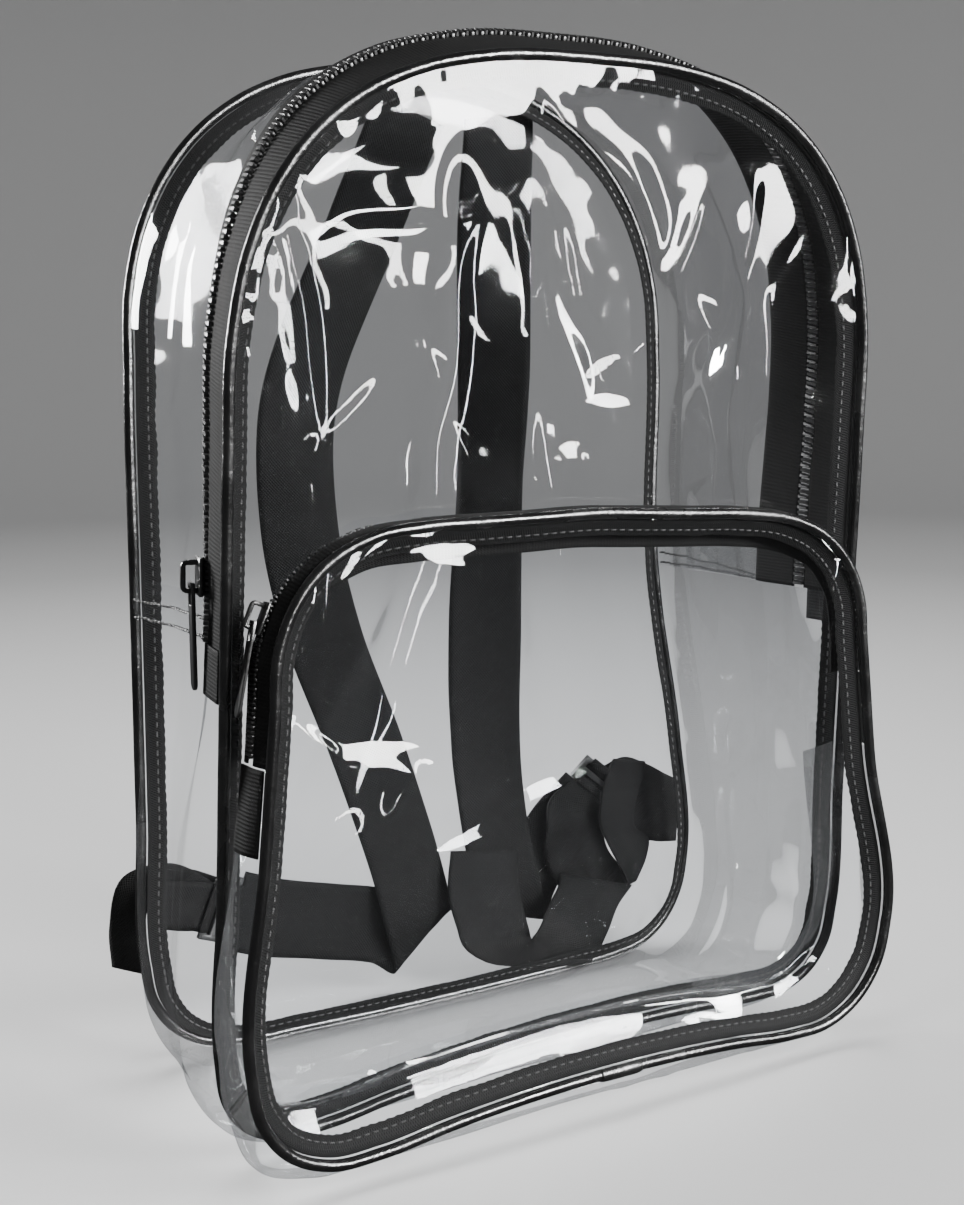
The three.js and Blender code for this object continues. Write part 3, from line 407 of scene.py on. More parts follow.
class Band:
    """The surface between two seams. Places on it are a length round the first seam and a distance back."""

    def __init__(self, first, second, nodes, flange=()):
        self.knots = knots_of(first)
        tree = hit_tree(*nodes)
        facing = outward(first) + outward(second)
        facing /= np.linalg.norm(facing, axis=1)[:, None]
        sections = [self.read(tree, first, second, facing, k, not flange) for k in range(len(first))]
        turned = [[second[k] - facing[k] * inset for inset in flange] for k in range(len(first))]
        turned = np.array(turned).reshape(len(first), len(flange), 3)
        self.sections = np.concatenate([np.array(sections), turned], 1)

    def read(self, tree, first, second, facing, k, closed):
        offsets = []
        for share in SHARES:
            found = []
            for side in (-SPLIT, SPLIT):
                other = (k + (1 if side > 0 else -1)) % len(first)
                start = first[k] + (first[other] - first[k]) * SPLIT
                end = second[k] + (second[other] - second[k]) * SPLIT
                here = start + (end - start) * share
                hit = tree.ray_cast(Vector(here + facing[k] * REACH), Vector(-facing[k]), 2 * REACH)
                if hit[0] is not None:
                    found.append(REACH - hit[3])
            offsets.append(np.mean(found) if found else np.nan)
        offsets = np.array(offsets)
        offsets[0] = 0
        if closed:
            offsets[-1] = 0
        known = ~np.isnan(offsets)
        offsets = np.interp(SHARES, SHARES[known], offsets[known])
        line = first[k] + (second[k] - first[k]) * SHARES[:, None]
        return line + facing[k] * offsets[:, None]

    def length_at(self, side, height):
        """The length round the seam where it passes a height, on the left (-1) or right (1) side."""
        lengths = np.linspace(0, self.knots[-1], 4001)
        line = round_loop(self.sections[:, 0], self.knots, lengths)
        line = line[:, [0, 2]]
        right = lengths < self.knots[-1] / 2
        own = right if side > 0 else ~right
        return lengths[own][np.argmin(abs(line[own, 1] - height))]

    def grid(self, lengths, distances):
        """Points at each length (rows) and distance (columns); a negative distance counts from the far seam,
        and a pair (share, distance) starts at a share of the way."""
        sections = round_loop(self.sections, self.knots, lengths)
        steps = np.linalg.norm(np.diff(sections, axis=1), axis=2)
        walked = np.concatenate([np.zeros((len(sections), 1)), np.cumsum(steps, 1)], 1)
        points = np.zeros((len(sections), len(distances), 3))
        for i, (section, way) in enumerate(zip(sections, walked)):
            goal = [d[0] * way[-1] + d[1] if isinstance(d, tuple) else d % way[-1] for d in distances]
            for axis in range(3):
                points[i, :, axis] = np.interp(goal, way, section[:, axis])
        return points


MAIN_NODES = ("lower_gusset", "upper_gusset", "main_zip_tape_front", "main_zip_tape_rear")
main_band = Band(front_seam, back_seam, MAIN_NODES)
lean = np.polyfit(front_seam[:, 2], front_seam[:, 1], 1)
pocket_foot = pocket_seam.copy()
pocket_foot[:, 1] = np.polyval(lean, pocket_foot[:, 2]) - 1.3 * MM
POCKET_NODES = ("pocket_gusset", "pocket_zip_tape_front", "pocket_zip_tape_rear")
pocket_band = Band(pocket_seam, pocket_foot, POCKET_NODES, (9 * MM, 15 * MM, 20 * MM))
print("band lengths", round(main_band.knots[-1], 3), round(pocket_band.knots[-1], 3))

# %% [markdown]
# Every sheet and tape starts as Blender's grid primitive, because that comes with a UV map, and its
# points then move to their places on the band. Which way its faces look is checked against a point
# inside the bag. Film casts no shadow here: its real one is faint, and each render is shorter without it.

# %% A sheet from a grid of points
INSIDE = (Vector(cad_low) + Vector(cad_high)) / 2


def deselect():
    if bpy.context.mode != "OBJECT":
        bpy.ops.object.mode_set(mode="OBJECT")
    bpy.ops.object.select_all(action="DESELECT")


def finish_piece(piece, name, material, slot, body="bag", replaced=()):
    """Names a piece, gives it its finish, and lets it ride."""
    piece.name = name
    piece.data.name = name
    piece.data.materials.clear()
    piece.data.materials.append(material)
    piece.visible_shadow = slot != "film"
    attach(piece, body)
    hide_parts(*replaced)
    return piece


def grid_piece(points, closed=False):
    """A smooth mesh from rows of points."""
    if closed:
        points = np.concatenate([points, points[:1]])
    rows, columns = points.shape[:2]
    deselect()
    bpy.ops.mesh.primitive_grid_add(x_subdivisions=columns - 1, y_subdivisions=rows - 1, size=1)
    piece = bpy.context.active_object
    piece.data.vertices.foreach_set("co", points.reshape(-1).astype(np.float32))
    piece.data.update()
    if closed:
        bpy.ops.object.mode_set(mode="EDIT")
        bpy.ops.mesh.select_all(action="SELECT")
        bpy.ops.mesh.remove_doubles(threshold=0.005 * MM)
        bpy.ops.object.mode_set(mode="OBJECT")
    bpy.ops.object.shade_smooth()
    return piece


def face_out(piece, inside=INSIDE):
    """Turns a sheet's faces away from a point, if most of them look at it."""
    faces = piece.data.polygons
    votes = sum((f.center - inside).dot(f.normal) * f.area for f in faces)
    if votes < 0:
        deselect()
        piece.select_set(True)
        bpy.context.view_layer.objects.active = piece
        bpy.ops.object.mode_set(mode="EDIT")
        bpy.ops.mesh.select_all(action="SELECT")
        bpy.ops.mesh.flip_normals()
        bpy.ops.object.mode_set(mode="OBJECT")
    return piece


def thicken(piece, thickness, offset=0.0):
    """Gives a sheet its thickness."""
    solid = piece.modifiers.new("thickness", "SOLIDIFY")
    solid.thickness = thickness
    solid.offset = offset
    bpy.context.view_layer.objects.active = piece
    bpy.ops.object.modifier_apply(modifier=solid.name)
    return piece


# %% [markdown]
# New vinyl keeps the creases of its packing. Each crease is one line of a short table: where it lies on
# the panel, which way it runs, and how long, wide and high it is. A bent ruler of noise keeps the lines
# from being straight, and two sizes of soft noise fill the space between them.

# %% Creases
STEEP = 2.2


def soft_noise(points, size, seed):
    """A smooth random number from -1 to 1 at each point."""
    moved = points.reshape(-1, 3) / size + seed * 7.31
    return np.array([noise.noise(p) for p in moved]).reshape(points.shape[:-1])


def sharp_folds(points, size, seed):
    """Thin curved ridges from 0 to 1, only here and there."""
    line = 1 - np.clip(abs(soft_noise(points, size, seed)) / 0.16, 0, 1)
    patch = np.clip(soft_noise(points, size * 2.2, seed + 0.5) * 2.5 - 0.1, 0, 1)
    return line * line * (3 - 2 * line) * patch


def crease_height(across, up, rows, seed):
    """The height of all creases at places in metres from the panel's middle; the lower flank is steep."""
    places = np.stack([across, up, np.zeros_like(up)], -1)
    bend_one = soft_noise(places, 52 * MM, seed) * 10 * MM
    bend_two = soft_noise(places, 46 * MM, seed + 1) * 10 * MM
    height = np.zeros_like(up)
    for row in rows:
        x, z, angle, long, wide, high = row
        turn = math.radians(angle)
        dx = across - x * MM + bend_one
        dz = up - z * MM + bend_two
        along = (dx * math.cos(turn) + dz * math.sin(turn)) / (long * MM)
        aside = (-dx * math.sin(turn) + dz * math.cos(turn)) / (wide * MM)
        aside = np.where(aside < 0, aside * STEEP, aside)
        height += high * MM * np.exp(-np.clip(abs(along), 0, 3)**3 - aside**2)
    return height


# %% [markdown]
# A panel is flat film sewn into a closed seam, so its rim follows the seam and its middle swells and
# creases. A square grid is drawn onto the outline in rings that shrink to the middle. Its depth is read
# from the frame's own panel, blurred so that no flat facet is left, and then the creases are added.

# %% The three panels
EDGE = 2.0 * MM
PANEL_CELLS = 190
BLUR = 14


def outline_grid(stations, cells, inset):
    """A square grid drawn onto a seam's outline: points, and the share from the middle to the rim."""
    knots = knots_of(stations)
    lengths = np.linspace(0, knots[-1], 1441)[:-1]
    rim = round_loop(stations, knots, lengths) - round_loop(outward(stations), knots, lengths) * inset
    low, high = rim.min(0), rim.max(0)
    middle, half = (low + high) / 2, (high - low) / 2
    angle = np.arctan2((rim[:, 0] - middle[0]) / half[0], (rim[:, 2] - middle[2]) / half[2])
    order = np.argsort(angle)
    angle, rim = angle[order], rim[order]
    side = np.linspace(-1, 1, cells + 1)
    a, b = np.meshgrid(side, side)
    share = np.maximum(abs(a), abs(b))
    turn = np.arctan2(a, b)
    points = np.zeros(a.shape + (3,))
    for axis in range(3):
        edge = np.interp(turn, angle, rim[:, axis], period=math.tau)
        points[..., axis] = middle[axis] + (edge - middle[axis]) * share
    return points, share, middle


def blurred(values, rounds):
    """Values of a grid after each has been drawn to its neighbours a few times; the rim stays."""
    for _ in range(rounds):
        inner = (values[:-2, 1:-1] + values[2:, 1:-1] + values[1:-1, :-2] + values[1:-1, 2:]) / 4
        values = values.copy()
        values[1:-1, 1:-1] = inner
    return values


def panel(name, node, stations, side, creases, seed, ripple, cells=PANEL_CELLS):
    """side is -1 for a panel that looks at the viewer and 1 for the back."""
    points, share, middle = outline_grid(stations, cells, EDGE)
    tree = hit_tree(node)
    plane = np.polyfit(stations[:, 2], stations[:, 1], 1)
    depth = np.polyval(plane, points[..., 2])
    for index in np.ndindex(depth.shape):
        x, _, z = points[index]
        shrink = min(1.0, 0.975 / max(share[index], 1e-6))
        x = middle[0] + (x - middle[0]) * shrink
        z = middle[2] + (z - middle[2]) * shrink
        hit = tree.ray_cast(Vector((x, side * REACH * 3, z)), Vector((0, -side, 0)))
        if hit[0] is not None:
            depth[index] = hit[0].y + (points[index][2] - z) * plane[0]
    depth = blurred(depth, BLUR)
    across = points[..., 0] - middle[0]
    up = points[..., 2] - middle[2]
    free = np.clip((1 - share) / 0.1, 0, 1) ** 0.7
    height = crease_height(across, up, creases, seed)
    height += soft_noise(points, 60 * MM, seed + 2) * 2.6 * MM * ripple
    height += sharp_folds(points, 60 * MM, seed + 3) * 1.0 * MM * ripple
    pucker = soft_noise(points, 9 * MM, seed + 4) * 0.5 * MM * np.exp(-((1 - share) / 0.05)**2)
    points[..., 1] = depth + side * (height * free + pucker * (1 - share > 0.004))
    piece = face_out(grid_piece(points))
    finish_piece(piece, name, FILM, "film", replaced=[node])
    print(name, len(piece.data.polygons), "faces, deepest crease", round(height.max() / MM, 1), "mm")
    return piece


# Creases: from the middle across and up, which way they run, half length, half width and height, in mm
FRONT_CREASES = [
    (-86, 156, -12, 26, 24, 6.2), (-106, 118, 24, 30, 24, 6.4), (-78, 128, -20, 16, 14, 3.2),
    (-120, 88, 34, 20, 14, 3.4), (-72, 98, -55, 22, 8, 2.8),
    (-62, 72, -65, 24, 6, 2.4), (-50, 44, -70, 22, 6, 2.4), (-102, 78, 38, 24, 5, 2.0),
    (0, 180, -52, 28, 15, 4.4), (24, 146, -64, 24, 12, 3.6), (42, 138, 60, 18, 5, 2.0),
    (20, 92, 20, 20, 5, 1.8), (18, 76, -10, 22, 5, 1.8), (-4, 56, 10, 10, 7, 2.0),
    (64, 96, -55, 26, 5, 2.2), (76, 142, 70, 20, 5, 1.8), (96, 60, 100, 50, 9, 2.2),
    (-118, 20, 85, 50, 8, 2.2), (60, 20, 80, 40, 7, 1.8),
]
BACK_CREASES = [
    (-60, 120, 100, 80, 14, 3.0), (20, 80, 80, 90, 15, 3.0), (70, -20, 95, 90, 12, 3.0),
    (-20, -60, 70, 80, 16, 2.6), (-80, -90, 60, 60, 14, 2.6), (50, -130, 20, 60, 12, 2.6),
    (100, 100, 110, 70, 12, 2.2), (0, 160, 10, 60, 12, 2.2),
]
POCKET_CREASES = [
    (-126, 96, 66, 24, 5, 2.2), (-102, 114, 40, 20, 5, 2.2), (-72, 104, -20, 20, 7, 2.4),
    (-104, 34, -4, 24, 9, 3.8), (-96, 22, 62, 12, 6, 2.8), (-118, 6, 30, 18, 9, 3.8),
    (-134, 46, -40, 10, 5, 2.4), (63, -36, 20, 8, 5, 1.4), (30, -60, 8, 40, 6, 1.8),
    (118, 60, 85, 34, 6, 2.4), (100, -20, 95, 50, 8, 2.0), (-84, -88, 6, 40, 6, 3.0),
    (-20, -84, 8, 40, 6, 2.6), (60, -76, 15, 30, 6, 2.2), (20, 40, 100, 50, 12, 1.2),
]
panel("front_film", "front_panel", front_seam, -1, FRONT_CREASES, 3, 1.0)
panel("back_film", "back_panel", back_seam, 1, BACK_CREASES, 11, 0.3, 150)
panel("pocket_film", "pocket_front", pocket_seam, -1, POCKET_CREASES, 23, 0.7)

# %% [markdown]
# The gussets are the bag's walls. Below the zip's ends one wide strip runs under the bag, above them a
# narrower one sits behind the rear zip tape, and the pocket has a shallow one of its own. Their creases
# run across the strip, where the seams gather it.

# %% The gussets
WALL_STEP = 2.0 * MM


def surface_normals(points):
    along = np.gradient(points, axis=0)
    back = np.gradient(points, axis=1)
    normal = np.cross(along, back)
    normal /= np.maximum(np.linalg.norm(normal, axis=2), 1e-9)[..., None]
    away = points - np.array(INSIDE)
    away[..., 1] = 0
    flip = np.sign(np.sum((normal * away)))
    return normal * flip


def film_strip(name, band, start, end, distances, node, seed, ripple):
    """A strip of film along a band, from one length to another."""
    rows = int(abs(end - start) / WALL_STEP)
    points = band.grid(np.linspace(start, end, rows), distances)
    normal = surface_normals(points)
    rim = np.minimum(np.arange(len(distances)), np.arange(len(distances))[::-1]) / (len(distances) / 6)
    free = np.clip(rim, 0, 1)[None, :]
    stretched = points * np.array([1, 1.5, 0.7])
    height = soft_noise(stretched, 60 * MM, seed) * 2.2 * MM * ripple - 0.6 * MM
    height += sharp_folds(stretched, 50 * MM, seed + 1) * 0.9 * MM * ripple
    moved = points + normal * (height * free)[..., None]
    moved[..., 2] = np.maximum(moved[..., 2], 0.4 * MM)
    piece = face_out(grid_piece(moved))
    finish_piece(piece, name, GUSSET_FILM, "film", replaced=[node])
    print(name, len(piece.data.polygons), "faces")
    return piece


def spread(first, last, count):
    """Distances from near the first seam to near the second, as shares of the way with what is added."""
    return [(t, first * (1 - t) - last * t) for t in np.linspace(0, 1, count)]


JOIN = 0.208
LAP_TOP = 0.226
POCKET_JOIN = 0.138
SEAM_INSET = 1.5 * MM
right_join = main_band.length_at(1, JOIN)
left_join = main_band.length_at(-1, JOIN)
whole = main_band.knots[-1]
TAPE_EDGE = 2.8 * MM
MAIN_TAPE = 24.6 * MM
TEETH_WIDE = 5 * MM
TEETH_ROOM = 0.5 * MM
rear_start = TAPE_EDGE + MAIN_TAPE + TEETH_WIDE + 2 * TEETH_ROOM
upper_start = rear_start + MAIN_TAPE - 3 * MM
film_strip("lower_gusset_film", main_band, left_join - whole, right_join,
           spread(SEAM_INSET, SEAM_INSET, 56), "lower_gusset", 31, 1.0)
upper_columns = spread(upper_start, SEAM_INSET, 26)
film_strip("upper_gusset_film", main_band, right_join, left_join, upper_columns, "upper_gusset", 37, 0.9)
pocket_join_right = pocket_band.length_at(1, POCKET_JOIN)
pocket_join_left = pocket_band.length_at(-1, POCKET_JOIN)
pocket_whole = pocket_band.knots[-1]
film_strip("pocket_gusset_film", pocket_band, pocket_join_left - pocket_whole, pocket_join_right,
           spread(SEAM_INSET, SEAM_INSET, 22), "pocket_gusset", 41, 0.7)

# %% [markdown]
# The piping is a round cord in a skin of black vinyl, sewn into each seam. Blender's torus stops at 256
# segments, too few for a metre and a half, so a grid is rolled up: each of its rows becomes a ring round the
# seam, and its edges are merged where they meet.

# %% The piping cords
CORD_RADIUS = 2.4 * MM
RING_STEP = 3.2 * MM


def loop_piece(rings):
    """A closed tube from rings of points, each with as many points."""
    return wind_out(grid_piece(np.concatenate([rings, rings[:, :1]], 1), closed=True))


def wind_out(piece):
    """Turns a closed mesh's faces out, judged by the sign of its volume, and smooths it."""
    volume = 0.0
    for face in piece.data.polygons:
        corners = [piece.data.vertices[i].co for i in face.vertices]
        for k in range(1, len(corners) - 1):
            volume += corners[0].dot(corners[k].cross(corners[k + 1]))
    deselect()
    piece.select_set(True)
    bpy.context.view_layer.objects.active = piece
    if volume < 0:
        bpy.ops.object.mode_set(mode="EDIT")
        bpy.ops.mesh.select_all(action="SELECT")
        bpy.ops.mesh.flip_normals()
        bpy.ops.object.mode_set(mode="OBJECT")
    bpy.ops.object.shade_smooth()
    return piece


class Rim:
    """A seam followed smoothly: its line and the direction away from the panel at evenly spaced places."""

    def __init__(self, stations, step):
        self.stations = stations
        self.knots = knots_of(stations)
        count = int(self.knots[-1] / step)
        self.lengths = np.arange(count) * self.knots[-1] / count
        self.line, self.out = self.at(self.lengths)

    def at(self, lengths):
        line = round_loop(self.stations, self.knots, lengths)
        out = round_loop(outward(self.stations), self.knots, lengths)
        return line, out / np.linalg.norm(out, axis=1)[:, None]


def cord_piece(name, stations, node):
    rim = Rim(stations, RING_STEP)
    angle = np.arange(14) / 14 * math.tau
    swell = 1 + 0.03 * soft_noise(rim.line, 15 * MM, 5)
    reach = (CORD_RADIUS * swell)[:, None, None]
    rings = rim.line[:, None] + reach * (rim.out[:, None] * np.cos(angle)[:, None]
                                         + BACKWARD * np.sin(angle)[:, None])
    piece = finish_piece(loop_piece(rings), name, CORD, "piping", replaced=[node])
    print(name, round(rim.knots[-1], 3), "m round")
    return piece


cord_piece("front_cord", front_seam, "front_piping")
cord_piece("back_cord", back_seam, "back_piping")
cord_piece("pocket_cord", pocket_seam, "pocket_piping")

# %% [markdown]
# Inside each seam the raw edges of the film are folded into a woven tape. It stands in the corner
# between the panel and the gusset, a third of the way round from the panel. Its edges are not ruled
# lines: each stitch pulls them in a little, so the tape's width swells between the stitches.

# %% The binding tapes
BINDING_WIDE = 9 * MM
BINDING_THICK = 1.2 * MM
BINDING_ANGLE = math.radians(30)
BINDING_FOOT = 2.26 * MM
STITCH_PITCH = 4.2 * MM


def binding_frame(stations, step, inward):
    """The tape's middle line, and the directions across it and out of its face."""
    rim = Rim(stations, step)
    across = -rim.out * math.cos(BINDING_ANGLE) + BACKWARD * math.sin(BINDING_ANGLE) * inward
    face = rim.out * math.sin(BINDING_ANGLE) + BACKWARD * math.cos(BINDING_ANGLE) * inward
    foot = rim.line - rim.out * BINDING_FOOT + BACKWARD * BINDING_FOOT * inward
    return rim, foot, across, face


def binding_piece(name, stations, inward, node, seed):
    rim, foot, across, face = binding_frame(stations, 1.4 * MM, inward)
    pulled = np.cos(rim.lengths / STITCH_PITCH * math.tau) * 0.25 * MM
    uneven = soft_noise(rim.line, 14 * MM, seed) * 0.5 * MM
    wide = BINDING_WIDE + pulled + uneven - 0.3 * MM
    curl = soft_noise(rim.line, 22 * MM, seed + 1) * 0.35 * MM
    middle = foot + across * (wide / 2)[:, None]
    angle = np.arange(16) / 16 * math.tau
    flat = np.sign(np.cos(angle)) * abs(np.cos(angle)) ** 0.6
    thick = np.sign(np.sin(angle)) * abs(np.sin(angle)) ** 0.8
    rings = (middle[:, None] + across[:, None] * (wide[:, None] / 2 * flat)[..., None]
             + face[:, None] * (BINDING_THICK / 2 * thick + curl[:, None] * flat**2)[..., None])
    weave = weave_finish(name + "_weave", 0.009, rim.knots[-1] / (1.1 * MM), 14, 0.6, 0.25 * MM)
    return finish_piece(loop_piece(rings), name, weave, "binding", replaced=[node])


binding_piece("front_binding_tape", front_seam, 1, "front_binding", 51)
binding_piece("back_binding_tape", back_seam, -1, "back_binding", 53)
binding_piece("pocket_binding_tape", pocket_seam, 1, "pocket_binding", 55)

# %% [markdown]
# Thousands of small things repeat on a bag: stitches and zip teeth. One is modelled with a few dozen
# faces, and its copies are placed by a frame of four vectors each: where it is and its three axes.

# %% Modelling one and laying a row of it


def take_model(piece):
    """The corners and faces of a finished small model, which is then removed."""
    corners = np.array([v.co for v in piece.data.vertices])
    faces = [list(p.vertices) for p in piece.data.polygons]
    bpy.data.objects.remove(piece, do_unlink=True)
    return corners, faces


def row_piece(name, model, frames, material, slot, body="bag", replaced=()):
    """One mesh from copies of a model; a frame is (origins, along x, along y, along z)."""
    corners, faces = model
    origin, first, second, third = frames
    points = (origin[:, None] + first[:, None] * corners[None, :, :1]
              + second[:, None] * corners[None, :, 1:2] + third[:, None] * corners[None, :, 2:])
    count = len(corners)
    index = [[k * count + i for i in face] for k in range(len(origin)) for face in faces]
    mesh = bpy.data.meshes.new(name)
    mesh.from_pydata(points.reshape(-1, 3).tolist(), [], index)
    mesh.update()
    piece = bpy.data.objects.new(name, mesh)
    bpy.context.scene.collection.objects.link(piece)
    deselect()
    piece.select_set(True)
    bpy.context.view_layer.objects.active = piece
    bpy.ops.object.shade_smooth_by_angle(angle=math.radians(40))
    print(name, len(origin), "copies,", len(index), "faces")
    return finish_piece(piece, name, material, slot, body, replaced)


def stitch_model(long, thick):
    """A short thread that dips into the cloth at both ends."""
    deselect()
    lying = (0, math.pi / 2, 0)
    bpy.ops.mesh.primitive_cylinder_add(vertices=6, radius=thick / 2, depth=long, rotation=lying)
    bpy.ops.object.transform_apply(location=True, rotation=True, scale=True)
    piece = bpy.context.active_object
    bpy.ops.object.mode_set(mode="EDIT")
    bpy.ops.mesh.select_all(action="SELECT")
    bpy.ops.mesh.bisect(plane_co=(long * 0.28, 0, 0), plane_no=(1, 0, 0))
    bpy.ops.mesh.select_all(action="SELECT")
    bpy.ops.mesh.bisect(plane_co=(-long * 0.28, 0, 0), plane_no=(1, 0, 0))
    bpy.ops.object.mode_set(mode="OBJECT")
    for corner in piece.data.vertices:
        if abs(corner.co.x) > long * 0.4:
            corner.co.z -= thick * 0.9
    return take_model(piece)


def thread_finish():
    finish = Finish("sewing_thread")
    ply = (finish.axis("X") + finish.axis("Z") * 0.7) * 9000
    return finish.done(finish.shader(
        Base_Color=finish.blend(ply.sine() * 0.5 + 0.5, grey(0.006), grey(0.03)), Roughness=0.55,
        Normal=finish.bump(ply.sine(), 0.08 * MM)))


THREAD = thread_finish()
STITCH = stitch_model(3.0 * MM, 0.8 * MM)


def binding_stitches(name, stations, inward):
    rim, foot, across, face = binding_frame(stations, STITCH_PITCH, inward)
    along = np.roll(rim.line, -1, 0) - np.roll(rim.line, 1, 0)
    along /= np.linalg.norm(along, axis=1)[:, None]
    sides = []
    for side in (1, -1):
        origin = foot + across * 5.4 * MM + face * (side * (BINDING_THICK / 2 + 0.1 * MM))
        sides.append((origin, along, np.cross(face * side, along), face * side))
    frames = [np.concatenate(parts) for parts in zip(*sides)]
    row_piece(name, STITCH, frames, THREAD, "binding")


binding_stitches("front_binding_stitches", front_seam, 1)
binding_stitches("back_binding_stitches", back_seam, -1)
binding_stitches("pocket_binding_stitches", pocket_seam, 1)

# %% [markdown]
# A zip's tape is a narrow woven band. It is laid on the gusset's surface between the seam and the
# teeth, and gets its thickness last. A faint wave keeps it from looking like sheet metal.

# %% The zip tapes
TAPE_THICK = 0.9 * MM


def tape_piece(name, band, lengths, distances, node, seed, raised=0.0, wave=0.5):
    points = band.grid(lengths, distances)
    normal = surface_normals(points)
    shift = soft_noise(points, 30 * MM, seed) * wave * MM - 0.5 * MM + raised
    piece = face_out(grid_piece(points + normal * shift[..., None]))
    thicken(piece, TAPE_THICK)
    long = abs(lengths[-1] - lengths[0])
    wide = np.linalg.norm(points[0, -1] - points[0, 0])
    weave = weave_finish(name + "_weave", 0.007, long / (1.5 * MM), wide / (1.5 * MM), 0.7, 0.25 * MM, 1.0)
    return finish_piece(piece, name, weave, "zip_tape", replaced=[node])


def steps(start, end, size):
    return np.linspace(start, end, max(2, int(abs(end - start) / size)))


upper_lengths = steps(right_join, left_join, 2.2 * MM)
tape_piece("main_zip_front_tape", main_band, upper_lengths, np.linspace(1.8 * MM, TAPE_EDGE + MAIN_TAPE, 14),
           "main_zip_tape_front", 61)
tape_piece("main_zip_rear_tape", main_band, upper_lengths,
           np.linspace(rear_start, rear_start + MAIN_TAPE, 14), "main_zip_tape_rear", 63)
POCKET_TAPE = 7.2 * MM
POCKET_TEETH = 3.8 * MM
POCKET_REAR = 16 * MM
POCKET_ZIP_END = 0.172
pocket_rear = TAPE_EDGE + POCKET_TAPE + POCKET_TEETH + 2 * TEETH_ROOM
pocket_right = pocket_band.length_at(1, POCKET_ZIP_END)
pocket_left = pocket_band.length_at(-1, POCKET_ZIP_END)
pocket_lengths = steps(pocket_right, pocket_left, 2 * MM)
tape_piece("pocket_zip_front_tape", pocket_band, pocket_lengths,
           np.linspace(1.8 * MM, TAPE_EDGE + POCKET_TAPE, 7), "pocket_zip_tape_front", 65, wave=0.3)
tape_piece("pocket_zip_rear_tape", pocket_band, pocket_lengths,
           np.linspace(pocket_rear, pocket_rear + POCKET_REAR, 10), "pocket_zip_tape_rear", 67, wave=0.3)

# %% [markdown]
# Where the zips end, their tapes are turned under a square of the same tape, sewn on the outside.

# %% The zips' end tabs
TAB_RAISE = 1.3 * MM
MAIN_TAB_HEIGHTS = (0.193, 0.2134)
POCKET_TAB_HEIGHTS = (0.1385, 0.1715)
for side, label in ((1, "right"), (-1, "left")):
    ends = [main_band.length_at(side, z) for z in MAIN_TAB_HEIGHTS]
    tape_piece(f"main_zip_end_tab_{label}", main_band, steps(*ends, 1.5 * MM),
               np.linspace(4 * MM, 26 * MM, 12), f"main_zip_end_{label}", 71, TAB_RAISE, 0.3)
    ends = [pocket_band.length_at(side, z) for z in POCKET_TAB_HEIGHTS]
    tape_piece(f"pocket_zip_end_tab_{label}", pocket_band, steps(*ends, 1.5 * MM),
               np.linspace(TAPE_EDGE, 17 * MM, 9), f"pocket_zip_end_{label}", 73, TAB_RAISE, 0.3)

# %% [markdown]
# A moulded tooth grips its tape at the root and ends in a wider head that fits between two heads of
# the other side. One tooth is cut from a small block: the head end is extruded and widened, and the
# edges are bevelled. The two sides' rows are the same tooth, turned round and half a pitch apart.

# %% The zip teeth


def tooth_model(reach, wide, high):
    deselect()
    bpy.ops.mesh.primitive_cube_add(size=1, location=(-reach * 0.12, 0, 0), scale=(reach, wide, high))
    bpy.ops.object.transform_apply(location=True, rotation=True, scale=True)
    piece = bpy.context.active_object
    bpy.ops.object.mode_set(mode="EDIT")
    bpy.ops.mesh.select_mode(type="FACE")
    bpy.ops.mesh.select_all(action="DESELECT")
    bpy.ops.object.mode_set(mode="OBJECT")
    for face in piece.data.polygons:
        face.select = face.normal.x > 0.9
    bpy.ops.object.mode_set(mode="EDIT")
    bpy.ops.mesh.extrude_region_move(TRANSFORM_OT_translate={"value": (reach * 0.16, 0, 0)})
    bpy.ops.transform.resize(value=(1, 1.5, 0.86))
    bpy.ops.mesh.extrude_region_move(TRANSFORM_OT_translate={"value": (reach * 0.22, 0, 0)})
    bpy.ops.transform.resize(value=(1, 0.72, 0.9))
    bpy.ops.object.mode_set(mode="OBJECT")
    bevel = piece.modifiers.new("bevel", "BEVEL")
    bevel.width = 0.22 * MM
    bevel.segments = 1
    bpy.ops.object.modifier_apply(modifier=bevel.name)
    return take_model(piece)


def teeth_row(name, band, start, end, centre, pitch, tooth, node):
    count = int(abs(end - start) / pitch) * 2
    lengths = np.linspace(start, end, count)
    points = band.grid(lengths, [centre - 1 * MM, centre, centre + 1 * MM])
    across = points[:, 2] - points[:, 0]
    across /= np.linalg.norm(across, axis=1)[:, None]
    along = np.gradient(points[:, 1], axis=0)
    along -= across * np.sum(along * across, 1)[:, None]
    along /= np.linalg.norm(along, axis=1)[:, None]
    normal = surface_normals(points)[:, 1]
    turn = np.where(np.arange(count) % 2, -1.0, 1.0)[:, None]
    frames = (points[:, 1], across * turn, np.cross(normal, across * turn), normal)
    return row_piece(name, tooth, frames, TEETH, "zip_teeth", replaced=[node])


